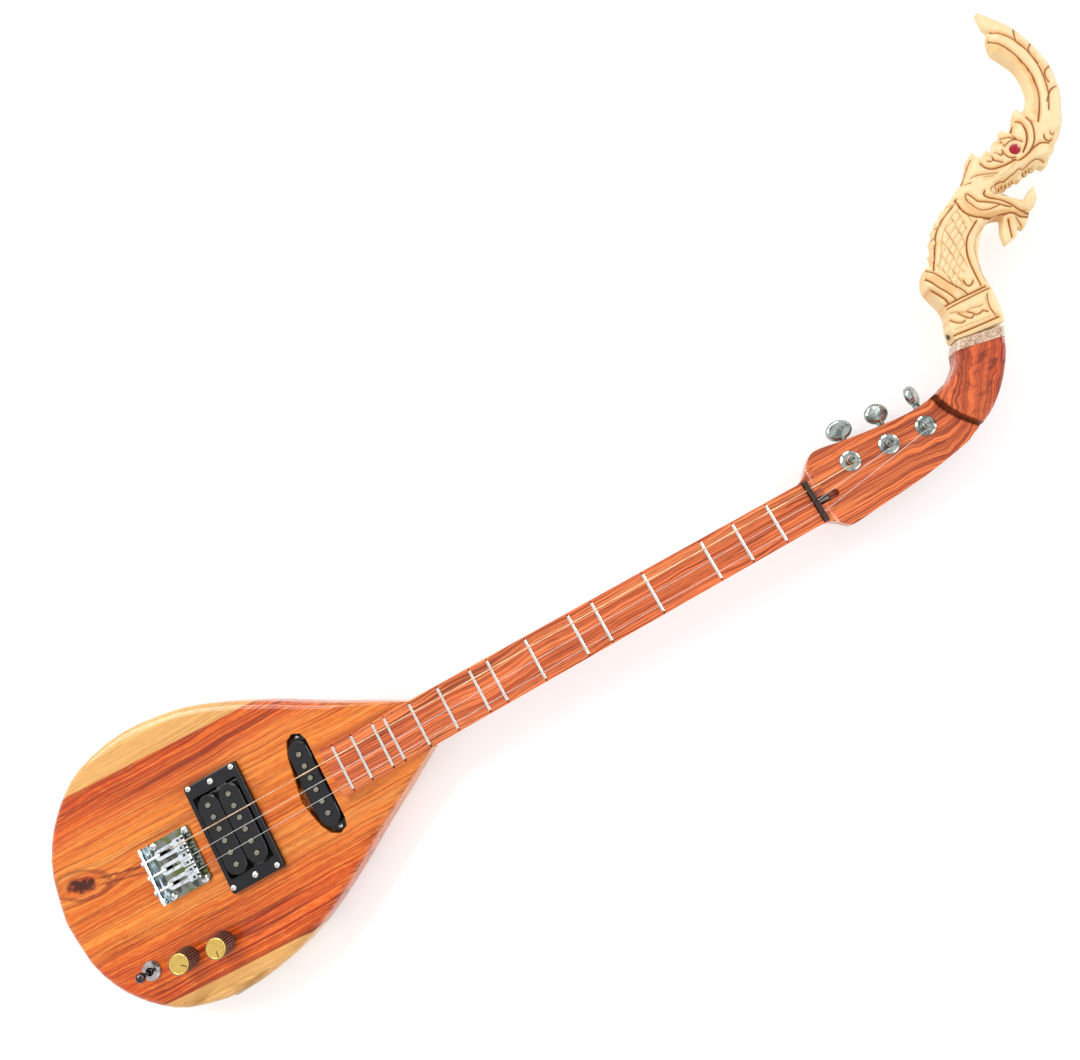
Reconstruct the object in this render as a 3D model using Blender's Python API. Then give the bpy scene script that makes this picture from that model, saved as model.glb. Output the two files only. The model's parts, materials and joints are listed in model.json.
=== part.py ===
"""Electric phin, a three-string Isan lute with a carved naga head.

Built in Blender 4.5 in metres, +Z up.  The lute lies on its back: the origin is on the flat back of
the body under the saddle line, +X runs along the strings to the head, +Y is the bass side and +Z
comes out of the face.
"""
import math

import bmesh
import bpy
from mathutils import Matrix, Vector
from mathutils.geometry import delaunay_2d_cdt

MM = 0.001

# Clearances
GAP = 0.3 * MM
RUNNING_GAP = 0.35 * MM

# Body
SCALE_LENGTH = 558 * MM
BODY_THICKNESS = 42 * MM
BODY_FACE_RADIUS = 8 * MM
BODY_BACK_RADIUS = 6 * MM
BODY_NECK_RADIUS = 1.5 * MM
BODY_END_X = 207 * MM
HEEL_SCARF_START_X = 140 * MM
HEEL_SCARF_RISE = 18 * MM

# Neck and fretboard
NECK_DEPTH_HEEL = 17 * MM
NECK_DEPTH_NUT = 15 * MM
TENON_WIDTH = 29.4 * MM
TENON_DEPTH = 18.7 * MM
BOARD_THICKNESS = 5.7 * MM
BOARD_WIDTH_BODY = 41.4 * MM
BOARD_WIDTH_NUT = 35.2 * MM
FRET_STEPS = (1, 2, 3, 5, 7, 8, 10, 12, 13, 15, 17, 19, 20, 22, 24)
BOARD_NUT_X = SCALE_LENGTH + 0.5 * MM
BOARD_START_X = SCALE_LENGTH * 2 ** (-FRET_STEPS[-1] / 12) - 10 * MM
TENON_START_X = BOARD_START_X + 10.5 * MM
FRET_INSET = 2.4 * MM
FRET_CROWN_WIDTH = 2.4 * MM
FRET_CROWN_HEIGHT = 1.0 * MM
FRET_TANG_WIDTH = 0.6 * MM
FRET_TANG_DEPTH = 1.8 * MM

# Headstock
HEADSTOCK_THICKNESS = 15 * MM
SHELF_HEIGHT = 4.5 * MM
SHELF_END_X = BOARD_NUT_X + 8 * MM
SHELF_FOOT_X = SHELF_END_X + 7 * MM
CURVE_THICKNESS = 24 * MM
CURVE_BACK_Z = 28 * MM
CURVE_EDGE_RADIUS = 3.5 * MM

# String nut
NUT_LENGTH = 3.8 * MM
NUT_SEAT = 1.7 * MM
NUT_TOP = 9.1 * MM

# Truss rod
TRUSS_Y = -1.5 * MM
TRUSS_CHANNEL_WIDTH = 6.6 * MM
TRUSS_CHANNEL_FLOOR_Z = 33 * MM
TRUSS_CHANNEL_START_X = TENON_START_X + 12 * MM
TRUSS_CHANNEL_END_X = SHELF_FOOT_X + 8.5 * MM
TRUSS_ROD_END_X = SHELF_END_X - 3.3 * MM
TRUSS_NUT_LENGTH = 10.5 * MM
TRUSS_SOCKET_DEPTH = 5.5 * MM
TRUSS_SOCKET_ACROSS = 4 * MM

# Naga head and its collar
COLLAR_THICKNESS = 8.8 * MM
PEG_DIAMETER = 12 * MM
PEG_IN_NAGA = 22 * MM
NAGA_HALF_THICKNESS = 12 * MM
NAGA_CREST_HALF = 8 * MM
NAGA_TIP_HALF = 5.5 * MM
NAGA_EDGE_ROUND = 6.5 * MM
NAGA_EDGE_COLUMN_HALF = 9.5 * MM
NAGA_EDGE_HEAD_HALF = 4 * MM
NAGA_FACET = 5.4 * MM
EYE_X = BOARD_NUT_X + 275.3 * MM
EYE_Y = 161.8 * MM
EYE_DIAMETER = 8 * MM
EYE_SEAT_DEPTH = 2.2 * MM

# Strings, from the bass side
STRING_DIAMETERS = (0.9 * MM, 0.5 * MM, 0.4 * MM)
STRING_HEIGHT_SADDLE = 11.3 * MM
STRING_HEIGHT_NUT = 8.4 * MM
STRING_PITCH_SADDLE = 12.4 * MM
STRING_PITCH_NUT = 10 * MM
STRING_TURNS = (2.2, 3, 3)

# Bridge
BRIDGE_Y = -2 * MM
BRIDGE_BACK_X = -36 * MM
BRIDGE_FRONT_X = 5 * MM
BRIDGE_WIDTH = 48 * MM
BRIDGE_PLATE = 2 * MM
BRIDGE_LIP = 2.5 * MM
BRIDGE_LIP_HEIGHT = 9.6 * MM
BRIDGE_CORNER = 3 * MM
SADDLE_LENGTH = 28 * MM
SADDLE_WIDTH = 11 * MM
SADDLE_SLOT_START = 1.6 * MM
SADDLE_SLOT_LENGTH = 14.5 * MM
SADDLE_SLOT_WIDTH = 5 * MM
SADDLE_TOP = 6.6 * MM
SADDLE_CROWN = 8.4 * MM
SADDLE_OFFSETS = (0.3 * MM, 0, 0)
SADDLE_CROWN_BACK = 3 * MM
INTONATION_Z = 5.6 * MM
INTONATION_DIAMETER = 2.7 * MM
INTONATION_HEAD = 5 * MM

# Humbucker
HUMBUCKER_X = 39.6 * MM
HUMBUCKER_Y = 1.2 * MM
HUMBUCKER_ROUT_FLOOR = 28 * MM
BOBBIN_SPACING = 18.8 * MM
BOBBIN_WIDTH = 18.2 * MM
BOBBIN_LENGTH = 68 * MM
RING_OPENING_LENGTH = BOBBIN_SPACING + BOBBIN_WIDTH + 2.4 * MM
RING_OPENING_WIDTH = BOBBIN_LENGTH + 2 * MM
HEIGHT_SCREW_REACH = RING_OPENING_WIDTH / 2 + 5.5 * MM
RING_LENGTH = RING_OPENING_LENGTH + 7.6 * MM
RING_WIDTH = 2 * HEIGHT_SCREW_REACH + 11 * MM
RING_HEIGHT = 5.4 * MM
BOBBIN_HEIGHT = 12.4 * MM
BOBBIN_TOP_Z = 50 * MM
POLE_PITCH = 10.2 * MM
POLE_COUNT = 6
POLE_DIAMETER = 4.8 * MM
POLE_PROUD = 0.7 * MM
KEEPER_HEIGHT = 3 * MM
BASEPLATE_THICKNESS = 1.2 * MM

# Single coil
COIL_X = BOARD_START_X - 17.9 * MM
COIL_Y = 0.5 * MM
COIL_ROUT_FLOOR = 30 * MM
COIL_TOP_Z = 44 * MM
COIL_FLANGE_LENGTH = 73 * MM
COIL_FLANGE_WIDTH = 17 * MM
COIL_EAR_LENGTH = 84 * MM
COIL_EAR_WIDTH = 11.6 * MM
COIL_EAR_OFFSET = 0.9 * MM
COIL_POLE_PROUD = 1.4 * MM

# Controls
TOP_UNDER_CONTROLS = 5 * MM
CAVITY_START = (-72 * MM, -65.5 * MM)
CAVITY_END = (-4 * MM, -73.5 * MM)
CAVITY_RADIUS = 16.5 * MM
COVER_MARGIN = 5 * MM
COVER_THICKNESS = 2.1 * MM
KNOB_PLACES = ((-40.5 * MM, -70.2 * MM), (-9 * MM, -73.5 * MM))
KNOB_POINTERS = (-39, -96)
KNOB_DIAMETER = 19.2 * MM
KNOB_TOP_DIAMETER = 17 * MM
KNOB_HEIGHT = 15 * MM
KNOB_LIFT = 1.5 * MM
KNOB_FLUTES = 20
KNOB_FLUTE_DEPTH = 0.55 * MM
POT_CAN_DIAMETER = 24 * MM
POT_CAN_HEIGHT = 9 * MM
POT_BUSH_DIAMETER = 7 * MM
POT_SHAFT_DIAMETER = 6 * MM
SWITCH_PLACE = (-71.5 * MM, -65 * MM)
SWITCH_BUSH_DIAMETER = 11.6 * MM
SWITCH_NUT_DIAMETER = 15.6 * MM
SWITCH_PIVOT_Z = 44 * MM
SWITCH_LEVER_LENGTH = 16 * MM
SWITCH_BALL_DIAMETER = 8.2 * MM
SWITCH_STEM_DIAMETER = 3.4 * MM
JACK_X = -20 * MM
JACK_Z = 21 * MM
JACK_BARREL_DIAMETER = 12 * MM
JACK_FLANGE_DIAMETER = 18 * MM
JACK_FLANGE = 2 * MM
JACK_BORE = 7 * MM
JACK_BORE_DEPTH = 27 * MM

# Tuners
TUNER_POSTS = ((BOARD_NUT_X + 42.8 * MM, 13.9 * MM), (BOARD_NUT_X + 74.7 * MM, 10.8 * MM),
               (BOARD_NUT_X + 105.9 * MM, 9.3 * MM))
TUNER_SKEW = math.radians(-6)
TUNER_WORM_OFFSET = 7.5 * MM
TUNER_HOUSING_DEPTH = 12.4 * MM
TUNER_BUSH_DIAMETER = 9.6 * MM
TUNER_WASHER_DIAMETER = 16 * MM
TUNER_POST_DIAMETER = 6 * MM
TUNER_POST_WAIST = 5 * MM
TUNER_POST_TOP = 11.6 * MM
TUNER_HEX_HEIGHT = 1.4 * MM
TUNER_SHAFT_DIAMETER = 4.8 * MM
BUTTON_LENGTH = 17 * MM
BUTTON_WIDTH = 21.6 * MM
BUTTON_THICKNESS = 7 * MM
BUTTON_REACH = 19.5 * MM
BUTTON_TURNS = (0, 24, 58)

FACE_Z = BODY_THICKNESS
BOARD_BOTTOM_Z = FACE_Z + GAP
BOARD_TOP_Z = BOARD_BOTTOM_Z + BOARD_THICKNESS
HEADSTOCK_BACK_Z = FACE_Z - HEADSTOCK_THICKNESS
CURVE_FRONT_Z = CURVE_BACK_Z + CURVE_THICKNESS
NAGA_MID_Z = CURVE_BACK_Z + CURVE_THICKNESS / 2

# Half of the body's outline, from the neck round to the tail, in millimetres
BODY_HALF = ((207, 20.6), (176, 37), (141, 56.2), (113, 72.8), (88.7, 86), (67.4, 96.4), (39, 107),
             (0, 113.4), (-30, 112.6), (-60.5, 104.7), (-78.6, 93.7), (-94.2, 79.1), (-107, 61.7),
             (-117.5, 37), (-122.8, 0))

# Headstock outline in millimetres past the fretboard's end: bass edge from the nut, then treble edge back
HEADSTOCK_BASS = ((-2.5, 17.7), (4.5, 20.5), (12.5, 28.5), (19.5, 33.8), (27.5, 34.3), (41.5, 31.6),
                  (61.5, 28.5), (88.5, 25.2), (108.5, 24.5), (123.5, 26.8), (133.5, 30))
HEADSTOCK_TREBLE = ((140.5, -11), (131.5, -15), (122.5, -18), (85.5, -24.2), (42.5, -27.6), (24.5, -29.3),
                    (17.5, -28.4), (10.5, -22), (3.5, -18.2), (-2.5, -17.7))

# The thick curved end in the same millimetres: riser line, outer edge and inner edge
CURVE_RISER = ((121.5, 26.5), (123.5, 17), (127.5, 8), (133.5, -1), (141, -10.5))
CURVE_OUTER = ((141, -10.5), (152.5, -5), (164.5, 4), (175.5, 15.2), (185, 28), (190.5, 38.5))
CURVE_INNER = ((152.5, 47), (149.5, 40), (142, 33.5), (131.5, 28.5), (121.5, 26.5))
COLLAR_FAR_LEFT = (159.1, 55.6)
COLLAR_FAR_RIGHT = (194.5, 46.8)

# Naga outline in the same millimetres, in runs that are each smooth and meet at corners
NAGA_NAPE = ((157.5, 54), (159.5, 65), (164, 74), (165, 83), (162.5, 95), (162.5, 106), (170, 116))
NAGA_SPINE = ((176.5, 114.5), (181.5, 124), (189.5, 136.5), (198.5, 144), (209.5, 151))
NAGA_SPINE_TOOTH = 1.8
NAGA_SKULL = ((209.5, 151), (221.5, 157), (232.5, 162.4), (240.5, 170.5))
NAGA_EAR = ((240.5, 170.5), (244.5, 175.5), (251, 179.5), (251.5, 174), (254, 170.5))
NAGA_LEAVES = ((254, 170.5), (260.5, 175), (262, 169.8), (270.5, 178.6), (272, 173.6), (278.5, 183),
               (282.5, 177), (288.5, 181.5), (296.5, 191.8), (300, 185.6))
NAGA_CREST_IN = ((300, 185.6), (309.9, 193.4), (314.1, 203), (316.1, 216.5), (314.5, 226), (307.9, 242))
NAGA_CREST_BARB = ((307.9, 242), (309.1, 250), (313, 257.5), (316, 255.5), (313.5, 264), (315.1, 277.5))
NAGA_CREST_OUT = ((315.1, 277.5), (322.5, 266), (330.5, 253), (335.5, 236), (338, 220), (338.3, 206),
                  (333, 185), (325, 171))
NAGA_SNOUT = ((325, 171), (322, 164.5), (312.5, 154.5), (306.5, 150.5), (303, 146.5), (298.5, 144.4),
              (295, 141.6))
NAGA_UPPER_TEETH = ((295, 141.6), (291, 137.8), (287, 143.4), (284, 141.2), (281, 143.6), (278, 141),
                    (274.5, 143.2), (270.5, 137.5), (266.5, 142.4), (263.5, 140), (260.5, 141.4),
                    (257.5, 139.4), (254, 140.6))
NAGA_MOUTH = ((254, 140.6), (250, 140.5), (249, 137.6), (252.5, 134.5))
NAGA_LOWER_JAW = ((252.5, 134.5), (257, 128.5), (262, 123.6), (274.3, 131), (270.9, 121), (266, 115.6),
                  (261.5, 115.6))
NAGA_BEARD = ((261.5, 115.6), (258.5, 110.5), (251, 105), (248, 109.5), (243.5, 103), (233, 101),
              (235, 111), (242.5, 121.5))
NAGA_THROAT = ((242.5, 121.5), (233.5, 124.6), (222.5, 120), (213, 110.8), (207, 102), (203.1, 91),
               (202.5, 79), (201.5, 66.5), (197, 49))

# Single-coil rout in millimetres from the coil's middle: straight on the neck side, bulging to the bridge
COIL_ROUT = ((9.7, 34), (7.4, 40.6), (0.9, 43.4), (-5.6, 40.2), (-10.1, 28), (-13, 11), (-16.1, -8),
             (-13.6, -20), (-10.1, -32.5), (-5.6, -40), (0.9, -43.6), (7.9, -40.8), (9.7, -34))


def clear_scene():
    for obj in list(bpy.data.objects):
        bpy.data.objects.remove(obj, do_unlink=True)


def make_material(name, colour, roughness, metallic=0.0):
    mat = bpy.data.materials.new(name)
    mat.use_nodes = True
    shader = mat.node_tree.nodes["Principled BSDF"]
    shader.inputs["Base Color"].default_value = (*colour, 1)
    shader.inputs["Roughness"].default_value = roughness
    shader.inputs["Metallic"].default_value = metallic
    return mat


def add_object(name, bm, mat, location=(0, 0, 0), rotation=None, smooth_angle=35):
    """Puts a bmesh into the scene as one named object."""
    bmesh.ops.recalc_face_normals(bm, faces=bm.faces)
    mesh = bpy.data.meshes.new(name)
    bm.to_mesh(mesh)
    bm.free()
    mesh.shade_smooth()
    mesh.set_sharp_from_angle(angle=math.radians(smooth_angle))
    mesh.materials.append(mat)
    obj = bpy.data.objects.new(name, mesh)
    obj.location = location
    if rotation is not None:
        obj.rotation_euler = rotation
    bpy.context.collection.objects.link(obj)
    return obj


def add_empty(name, location, rotation=(0, 0, 0)):
    empty = bpy.data.objects.new(name, None)
    empty.location = location
    empty.rotation_euler = rotation
    bpy.context.collection.objects.link(empty)
    return empty


def combine(obj, tool_bm, operation, offset=(0, 0, 0)):
    """Joins or cuts an object with a bmesh, in the object's own frame shifted by offset."""
    tool = add_object(obj.name + "_tool", tool_bm, obj.data.materials[0])
    tool.matrix_world = obj.matrix_basis @ Matrix.Translation(offset)
    modifier = obj.modifiers.new(operation, "BOOLEAN")
    modifier.operation = operation
    modifier.object = tool
    bpy.context.view_layer.update()
    evaluated = obj.evaluated_get(bpy.context.evaluated_depsgraph_get())
    mesh = bpy.data.meshes.new_from_object(evaluated)
    obj.modifiers.clear()
    obj.data = mesh
    bpy.data.objects.remove(tool, do_unlink=True)


def join(obj, *shapes):
    for shape in shapes:
        combine(obj, shape, "UNION")


def cut(obj, *shapes):
    for shape in shapes:
        combine(obj, shape, "DIFFERENCE")


def smooth_run(points, steps):
    """Points along a smooth curve through the given points."""
    padded = [points[0], *points, points[-1]]
    run = []
    for a, b, c, d in zip(padded, padded[1:], padded[2:], padded[3:]):
        for step in range(steps):
            t = step / steps
            run.append(tuple(0.5 * (2 * q + (r - p) * t + (2 * p - 5 * q + 4 * r - s) * t * t
                                    + (3 * q - p - 3 * r + s) * t ** 3) for p, q, r, s in zip(a, b, c, d)))
    return [*run, points[-1]]


def chain(*runs, start_x=0.0):
    """One closed outline from runs that start where the last one ended, in metres past start_x."""
    outline = []
    for run in runs:
        for x, y in run:
            point = Vector((start_x + x * MM, y * MM))
            if not outline or (point - outline[-1]).length > 0.05 * MM:
                outline.append(point)
    if (outline[0] - outline[-1]).length < 0.05 * MM:
        outline.pop()
    return outline


def area_sign(outline):
    total = sum(a.x * b.y - b.x * a.y for a, b in zip(outline, [*outline[1:], outline[0]]))
    return 1 if total > 0 else -1


def inset(outline, distances):
    """Moves each side of a closed outline inwards by its own distance."""
    count = len(outline)
    sign = area_sign(outline)
    sides = []
    for i, point in enumerate(outline):
        along = (outline[(i + 1) % count] - point).normalized()
        normal = Vector((-along.y, along.x)) * sign
        sides.append((point + normal * distances[i], along, normal))
    moved = []
    for i, point in enumerate(outline):
        before, after = sides[i - 1], sides[i]
        turn = before[1].x * after[1].y - before[1].y * after[1].x
        if abs(turn) < 0.05:
            moved.append(point + (before[2] + after[2]).normalized() * (distances[i - 1] + distances[i]) / 2)
        else:
            between = after[0] - before[0]
            reach = (between.x * after[1].y - between.y * after[1].x) / turn
            moved.append(before[0] + before[1] * reach)
    return moved


def loft(rings, closed_ends=True):
    """A solid through rings that have the same number of 3-D points."""
    bm = bmesh.new()
    rows = [[bm.verts.new(point) for point in ring] for ring in rings]
    for low, high in zip(rows, rows[1:]):
        for i in range(len(low)):
            j = (i + 1) % len(low)
            bm.faces.new((low[i], low[j], high[j], high[i]))
    if closed_ends:
        bm.faces.new(list(reversed(rows[0])))
        bm.faces.new(rows[-1])
    return bm


def slab(outline, low, high, low_radius=0.0, high_radius=0.0, steps=3, square_sides=()):
    """A plate of the outline with rounded lower and upper edges; the sides named stay square."""
    count = len(outline)
    low_radii = low_radius if isinstance(low_radius, list) else [low_radius] * count
    high_radii = high_radius if isinstance(high_radius, list) else [high_radius] * count
    rings = []

    def ring(radii, turn, base, direction):
        distances = [0.0 if i in square_sides else r * (1 - math.sin(turn)) for i, r in enumerate(radii)]
        points = inset(outline, distances) if max(distances) > 0 else outline
        rise = 1 - math.cos(turn)
        rings.append([(p.x, p.y, base + direction * (radii[i] + radii[i - 1]) / 2 * rise)
                      for i, p in enumerate(points)])

    low_steps = steps if max(low_radii) > 0 else 0
    high_steps = steps if max(high_radii) > 0 else 0
    for step in range(low_steps + 1):
        ring(low_radii, math.pi / 2 * (step / low_steps if low_steps else 1), low, 1 if low_steps else 0)
    for step in range(high_steps, -1, -1):
        ring(high_radii, math.pi / 2 * (step / high_steps if high_steps else 1), high, -1 if high_steps else 0)
    return loft(rings)


def revolve(profile, sides=24, turn=0.0):
    """Turns (radius, height) points about Z; a profile off the axis at both ends is a closed ring."""
    bm = bmesh.new()
    rows = []
    for radius, height in profile:
        if radius < 1e-7:
            rows.append([bm.verts.new((0, 0, height))])
        else:
            rows.append([bm.verts.new((radius * math.cos(turn + 2 * math.pi * i / sides),
                                       radius * math.sin(turn + 2 * math.pi * i / sides), height))
                         for i in range(sides)])
    pairs = list(zip(rows, rows[1:]))
    if len(rows[0]) > 1 and len(rows[-1]) > 1:
        pairs.append((rows[-1], rows[0]))
    for low, high in pairs:
        for i in range(sides):
            j = (i + 1) % sides
            if len(low) == 1:
                bm.faces.new((low[0], high[j], high[i]))
            elif len(high) == 1:
                bm.faces.new((low[i], low[j], high[0]))
            else:
                bm.faces.new((low[i], low[j], high[j], high[i]))
    return bm


def rod(radius, low, high, sides=16, turn=0.0):
    return revolve(((0, low), (radius, low), (radius, high), (0, high)), sides, turn)


def moved(bm, matrix):
    bmesh.ops.transform(bm, matrix=matrix, verts=bm.verts)
    return bm


def shifted(bm, x, y, z):
    return moved(bm, Matrix.Translation((x, y, z)))


def along_x(bm):
    return moved(bm, Matrix.Rotation(math.pi / 2, 4, "Y"))


def along_minus_y(bm):
    return moved(bm, Matrix.Rotation(math.pi / 2, 4, "X"))


def box(x0, x1, y0, y1, z0, z1):
    return loft([[(x0, y0, z), (x1, y0, z), (x1, y1, z), (x0, y1, z)] for z in (z0, z1)])


def rounded_rectangle(length, width, radius, steps=3):
    """Outline centred on the origin, length along X."""
    outline = []
    for cx, cy, start in ((1, 1, 0), (-1, 1, 90), (-1, -1, 180), (1, -1, 270)):
        for step in range(steps + 1):
            angle = math.radians(start + 90 * step / steps)
            outline.append(Vector((cx * (length / 2 - radius) + radius * math.cos(angle),
                                   cy * (width / 2 - radius) + radius * math.sin(angle))))
    return outline


def moved_outline(outline, x, y):
    return [point + Vector((x, y)) for point in outline]


def capsule(start, end, radius, steps=6):
    """Outline of a slot with round ends between two points."""
    start, end = Vector(start), Vector(end)
    angle = math.atan2(end.y - start.y, end.x - start.x)
    outline = []
    for centre, first in ((end, angle - math.pi / 2), (start, angle + math.pi / 2)):
        for step in range(steps + 1):
            turn = first + math.pi * step / steps
            outline.append(centre + Vector((math.cos(turn), math.sin(turn))) * radius)
    return outline


def side_profile(points, y0, y1):
    """A solid whose (x, z) outline is drawn out from y0 to y1."""
    return loft([[(x, y, z) for x, z in points] for y in (y0, y1)])


def tube_curve(name, points, diameter, mat):
    """A round wire through the points, with closed ends."""
    curve = bpy.data.curves.new(name, "CURVE")
    curve.dimensions = "3D"
    curve.bevel_depth = diameter / 2
    curve.bevel_resolution = 0
    curve.use_fill_caps = True
    spline = curve.splines.new("POLY")
    spline.points.add(len(points) - 1)
    for target, point in zip(spline.points, points):
        target.co = (*point, 1)
    curve.materials.append(mat)
    obj = bpy.data.objects.new(name, curve)
    bpy.context.collection.objects.link(obj)
    return obj


def board_half_width(x):
    """Half of the neck's width at x."""
    share = (x - BOARD_START_X) / (BOARD_NUT_X - BOARD_START_X)
    return (BOARD_WIDTH_BODY + (BOARD_WIDTH_NUT - BOARD_WIDTH_BODY) * share) / 2


def body_outline():
    bass = smooth_run(BODY_HALF, 2)
    treble = [(x, -y) for x, y in reversed(bass)]
    return chain(bass, treble)


def cavity_outline(extra=0.0):
    return capsule(CAVITY_START, CAVITY_END, CAVITY_RADIUS + extra)


def make_body(wood):
    outline = body_outline()
    fade = [min(1, max(0, (BODY_END_X - point.x) / (60 * MM))) for point in outline]
    face_radii = [BODY_NECK_RADIUS + (BODY_FACE_RADIUS - BODY_NECK_RADIUS) * share for share in fade]
    back_radii = [BODY_NECK_RADIUS + (BODY_BACK_RADIUS - BODY_NECK_RADIUS) * share for share in fade]
    bm = slab(outline, 0, BODY_THICKNESS, back_radii, face_radii, steps=3, square_sides=(len(outline) - 1,))
    body = add_object("body", bm, wood)
    run = BODY_END_X - HEEL_SCARF_START_X
    scarf = [(HEEL_SCARF_START_X - 5 * MM, -MM), (HEEL_SCARF_START_X + run * 0.15, 0.04 * HEEL_SCARF_RISE),
             (HEEL_SCARF_START_X + run * 0.5, 0.34 * HEEL_SCARF_RISE),
             (HEEL_SCARF_START_X + run * 0.8, 0.76 * HEEL_SCARF_RISE),
             (BODY_END_X + MM, HEEL_SCARF_RISE), (BODY_END_X + MM, -MM)]
    half_tenon = TENON_WIDTH / 2 + GAP
    pocket_floor = FACE_Z - TENON_DEPTH - GAP
    above = FACE_Z + 5 * MM
    ring_rout = moved_outline(rounded_rectangle(RING_OPENING_LENGTH + MM, RING_OPENING_WIDTH + MM, 2 * MM),
                              HUMBUCKER_X, HUMBUCKER_Y)
    screw_rout = moved_outline(rounded_rectangle(12 * MM, 2 * HEIGHT_SCREW_REACH + 7 * MM, 2 * MM),
                               HUMBUCKER_X, HUMBUCKER_Y)
    inner = cavity_outline()
    cover_floor = GAP + COVER_THICKNESS + GAP
    cut(body,
        side_profile(scarf, -40 * MM, 40 * MM),
        box(TENON_START_X - GAP, BODY_END_X + 5 * MM, -half_tenon, half_tenon, pocket_floor, above),
        slab(ring_rout, HUMBUCKER_ROUT_FLOOR, above),
        slab(screw_rout, HUMBUCKER_ROUT_FLOOR, above),
        slab(chain(COIL_ROUT, start_x=COIL_X), COIL_ROUT_FLOOR, above),
        slab(inner, cover_floor - MM, FACE_Z - TOP_UNDER_CONTROLS),
        slab(cavity_outline(COVER_MARGIN), -MM, cover_floor))
    for x, y in KNOB_PLACES:
        cut(body, shifted(rod(POT_BUSH_DIAMETER / 2 + GAP, FACE_Z - 10 * MM, above, 14), x, y, 0))
    x, y = SWITCH_PLACE
    cut(body, shifted(rod(SWITCH_BUSH_DIAMETER / 2 + GAP, FACE_Z - 10 * MM, above, 14), x, y, 0))
    jack_hole = along_minus_y(rod(JACK_BARREL_DIAMETER / 2 + GAP, 70 * MM, 130 * MM, 16))
    cut(body, shifted(jack_hole, JACK_X, 0, JACK_Z))
    return body


def make_cover(plastic):
    cover = cavity_outline(COVER_MARGIN)
    outline = inset(cover, [GAP] * len(cover))
    return add_object("control_cover", slab(outline, GAP, GAP + COVER_THICKNESS, 0.6 * MM, 0, 1), plastic)


def neck_section(x, depth):
    """D-shaped ring of the shaft at x, flat side up."""
    half = board_half_width(x)
    ring = []
    for step in range(11):
        angle = math.pi * step / 10
        ring.append((x, half * math.cos(angle), FACE_Z - depth * math.sin(angle) ** 0.75))
    return ring


def past_nut(point):
    """A point of the head's outlines, which are drawn in millimetres past the fretboard's end, in metres."""
    return Vector((BOARD_NUT_X + point[0] * MM, point[1] * MM))


def collar_line():
    """Middle, direction across and direction along of the neck's joint with the collar, in metres."""
    right = past_nut(CURVE_OUTER[-1])
    left = past_nut(CURVE_INNER[0])
    across = (right - left).normalized()
    return (left + right) / 2, across, Vector((-across.y, across.x))


def peg(radius, start, end):
    """Peg along the line from the curved neck through the collar into the naga."""
    middle, across, along = collar_line()
    turn = Vector((along.x, along.y, 0)).to_track_quat("Z", "Y").to_matrix().to_4x4()
    matrix = Matrix.Translation((middle.x, middle.y, NAGA_MID_Z)) @ turn
    return moved(rod(radius, start, end, 12), matrix)


def make_neck(wood):
    shaft_end = SHELF_END_X - 2 * MM
    shaft = loft([neck_section(BODY_END_X + GAP, NECK_DEPTH_HEEL), neck_section(shaft_end, NECK_DEPTH_NUT)])
    neck = add_object("neck", shaft, wood)
    half_tenon = TENON_WIDTH / 2
    tenon = box(TENON_START_X, BODY_END_X + 8 * MM, -half_tenon, half_tenon, FACE_Z - TENON_DEPTH, FACE_Z)
    outline = chain(smooth_run(HEADSTOCK_BASS, 2), smooth_run(HEADSTOCK_TREBLE, 2), start_x=BOARD_NUT_X)
    shelf_top = FACE_Z + SHELF_HEIGHT
    head = slab(outline, HEADSTOCK_BACK_Z, shelf_top, 2 * MM, 0, 2)
    join(neck, tenon, head)
    top = shelf_top + 5 * MM
    seat_z = FACE_Z + NUT_SEAT
    seat_end = BOARD_NUT_X + NUT_LENGTH + 2 * GAP
    step = [(SHELF_END_X - 30 * MM, top), (SHELF_END_X - 30 * MM, FACE_Z), (BOARD_NUT_X + GAP, FACE_Z),
            (BOARD_NUT_X + GAP, seat_z), (seat_end, seat_z), (seat_end, shelf_top), (SHELF_END_X, shelf_top),
            (SHELF_FOOT_X, FACE_Z), (SHELF_FOOT_X + 150 * MM, FACE_Z), (SHELF_FOOT_X + 150 * MM, top)]
    cut(neck, side_profile(step, -50 * MM, 60 * MM))
    curve = chain(smooth_run(CURVE_RISER, 2), smooth_run(CURVE_OUTER, 4), smooth_run(CURVE_INNER, 3),
                  start_x=BOARD_NUT_X)
    end_side = max(range(len(curve)), key=lambda i: (curve[(i + 1) % len(curve)] - curve[i]).length)
    join(neck, slab(curve, CURVE_BACK_Z, CURVE_FRONT_Z, CURVE_EDGE_RADIUS, CURVE_EDGE_RADIUS, 2, (end_side,)),
         peg(PEG_DIAMETER / 2, -15 * MM, COLLAR_THICKNESS + PEG_IN_NAGA))
    half_channel = TRUSS_CHANNEL_WIDTH / 2
    channel = capsule((TRUSS_CHANNEL_START_X, TRUSS_Y), (TRUSS_CHANNEL_END_X - half_channel, TRUSS_Y),
                      half_channel, 6)
    cut(neck, slab(channel, TRUSS_CHANNEL_FLOOR_Z, top))
    for x, y in TUNER_POSTS:
        cut(neck, shifted(rod(TUNER_BUSH_DIAMETER / 2 + GAP, HEADSTOCK_BACK_Z - 5 * MM, top), x, y, 0))
    return neck


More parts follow.
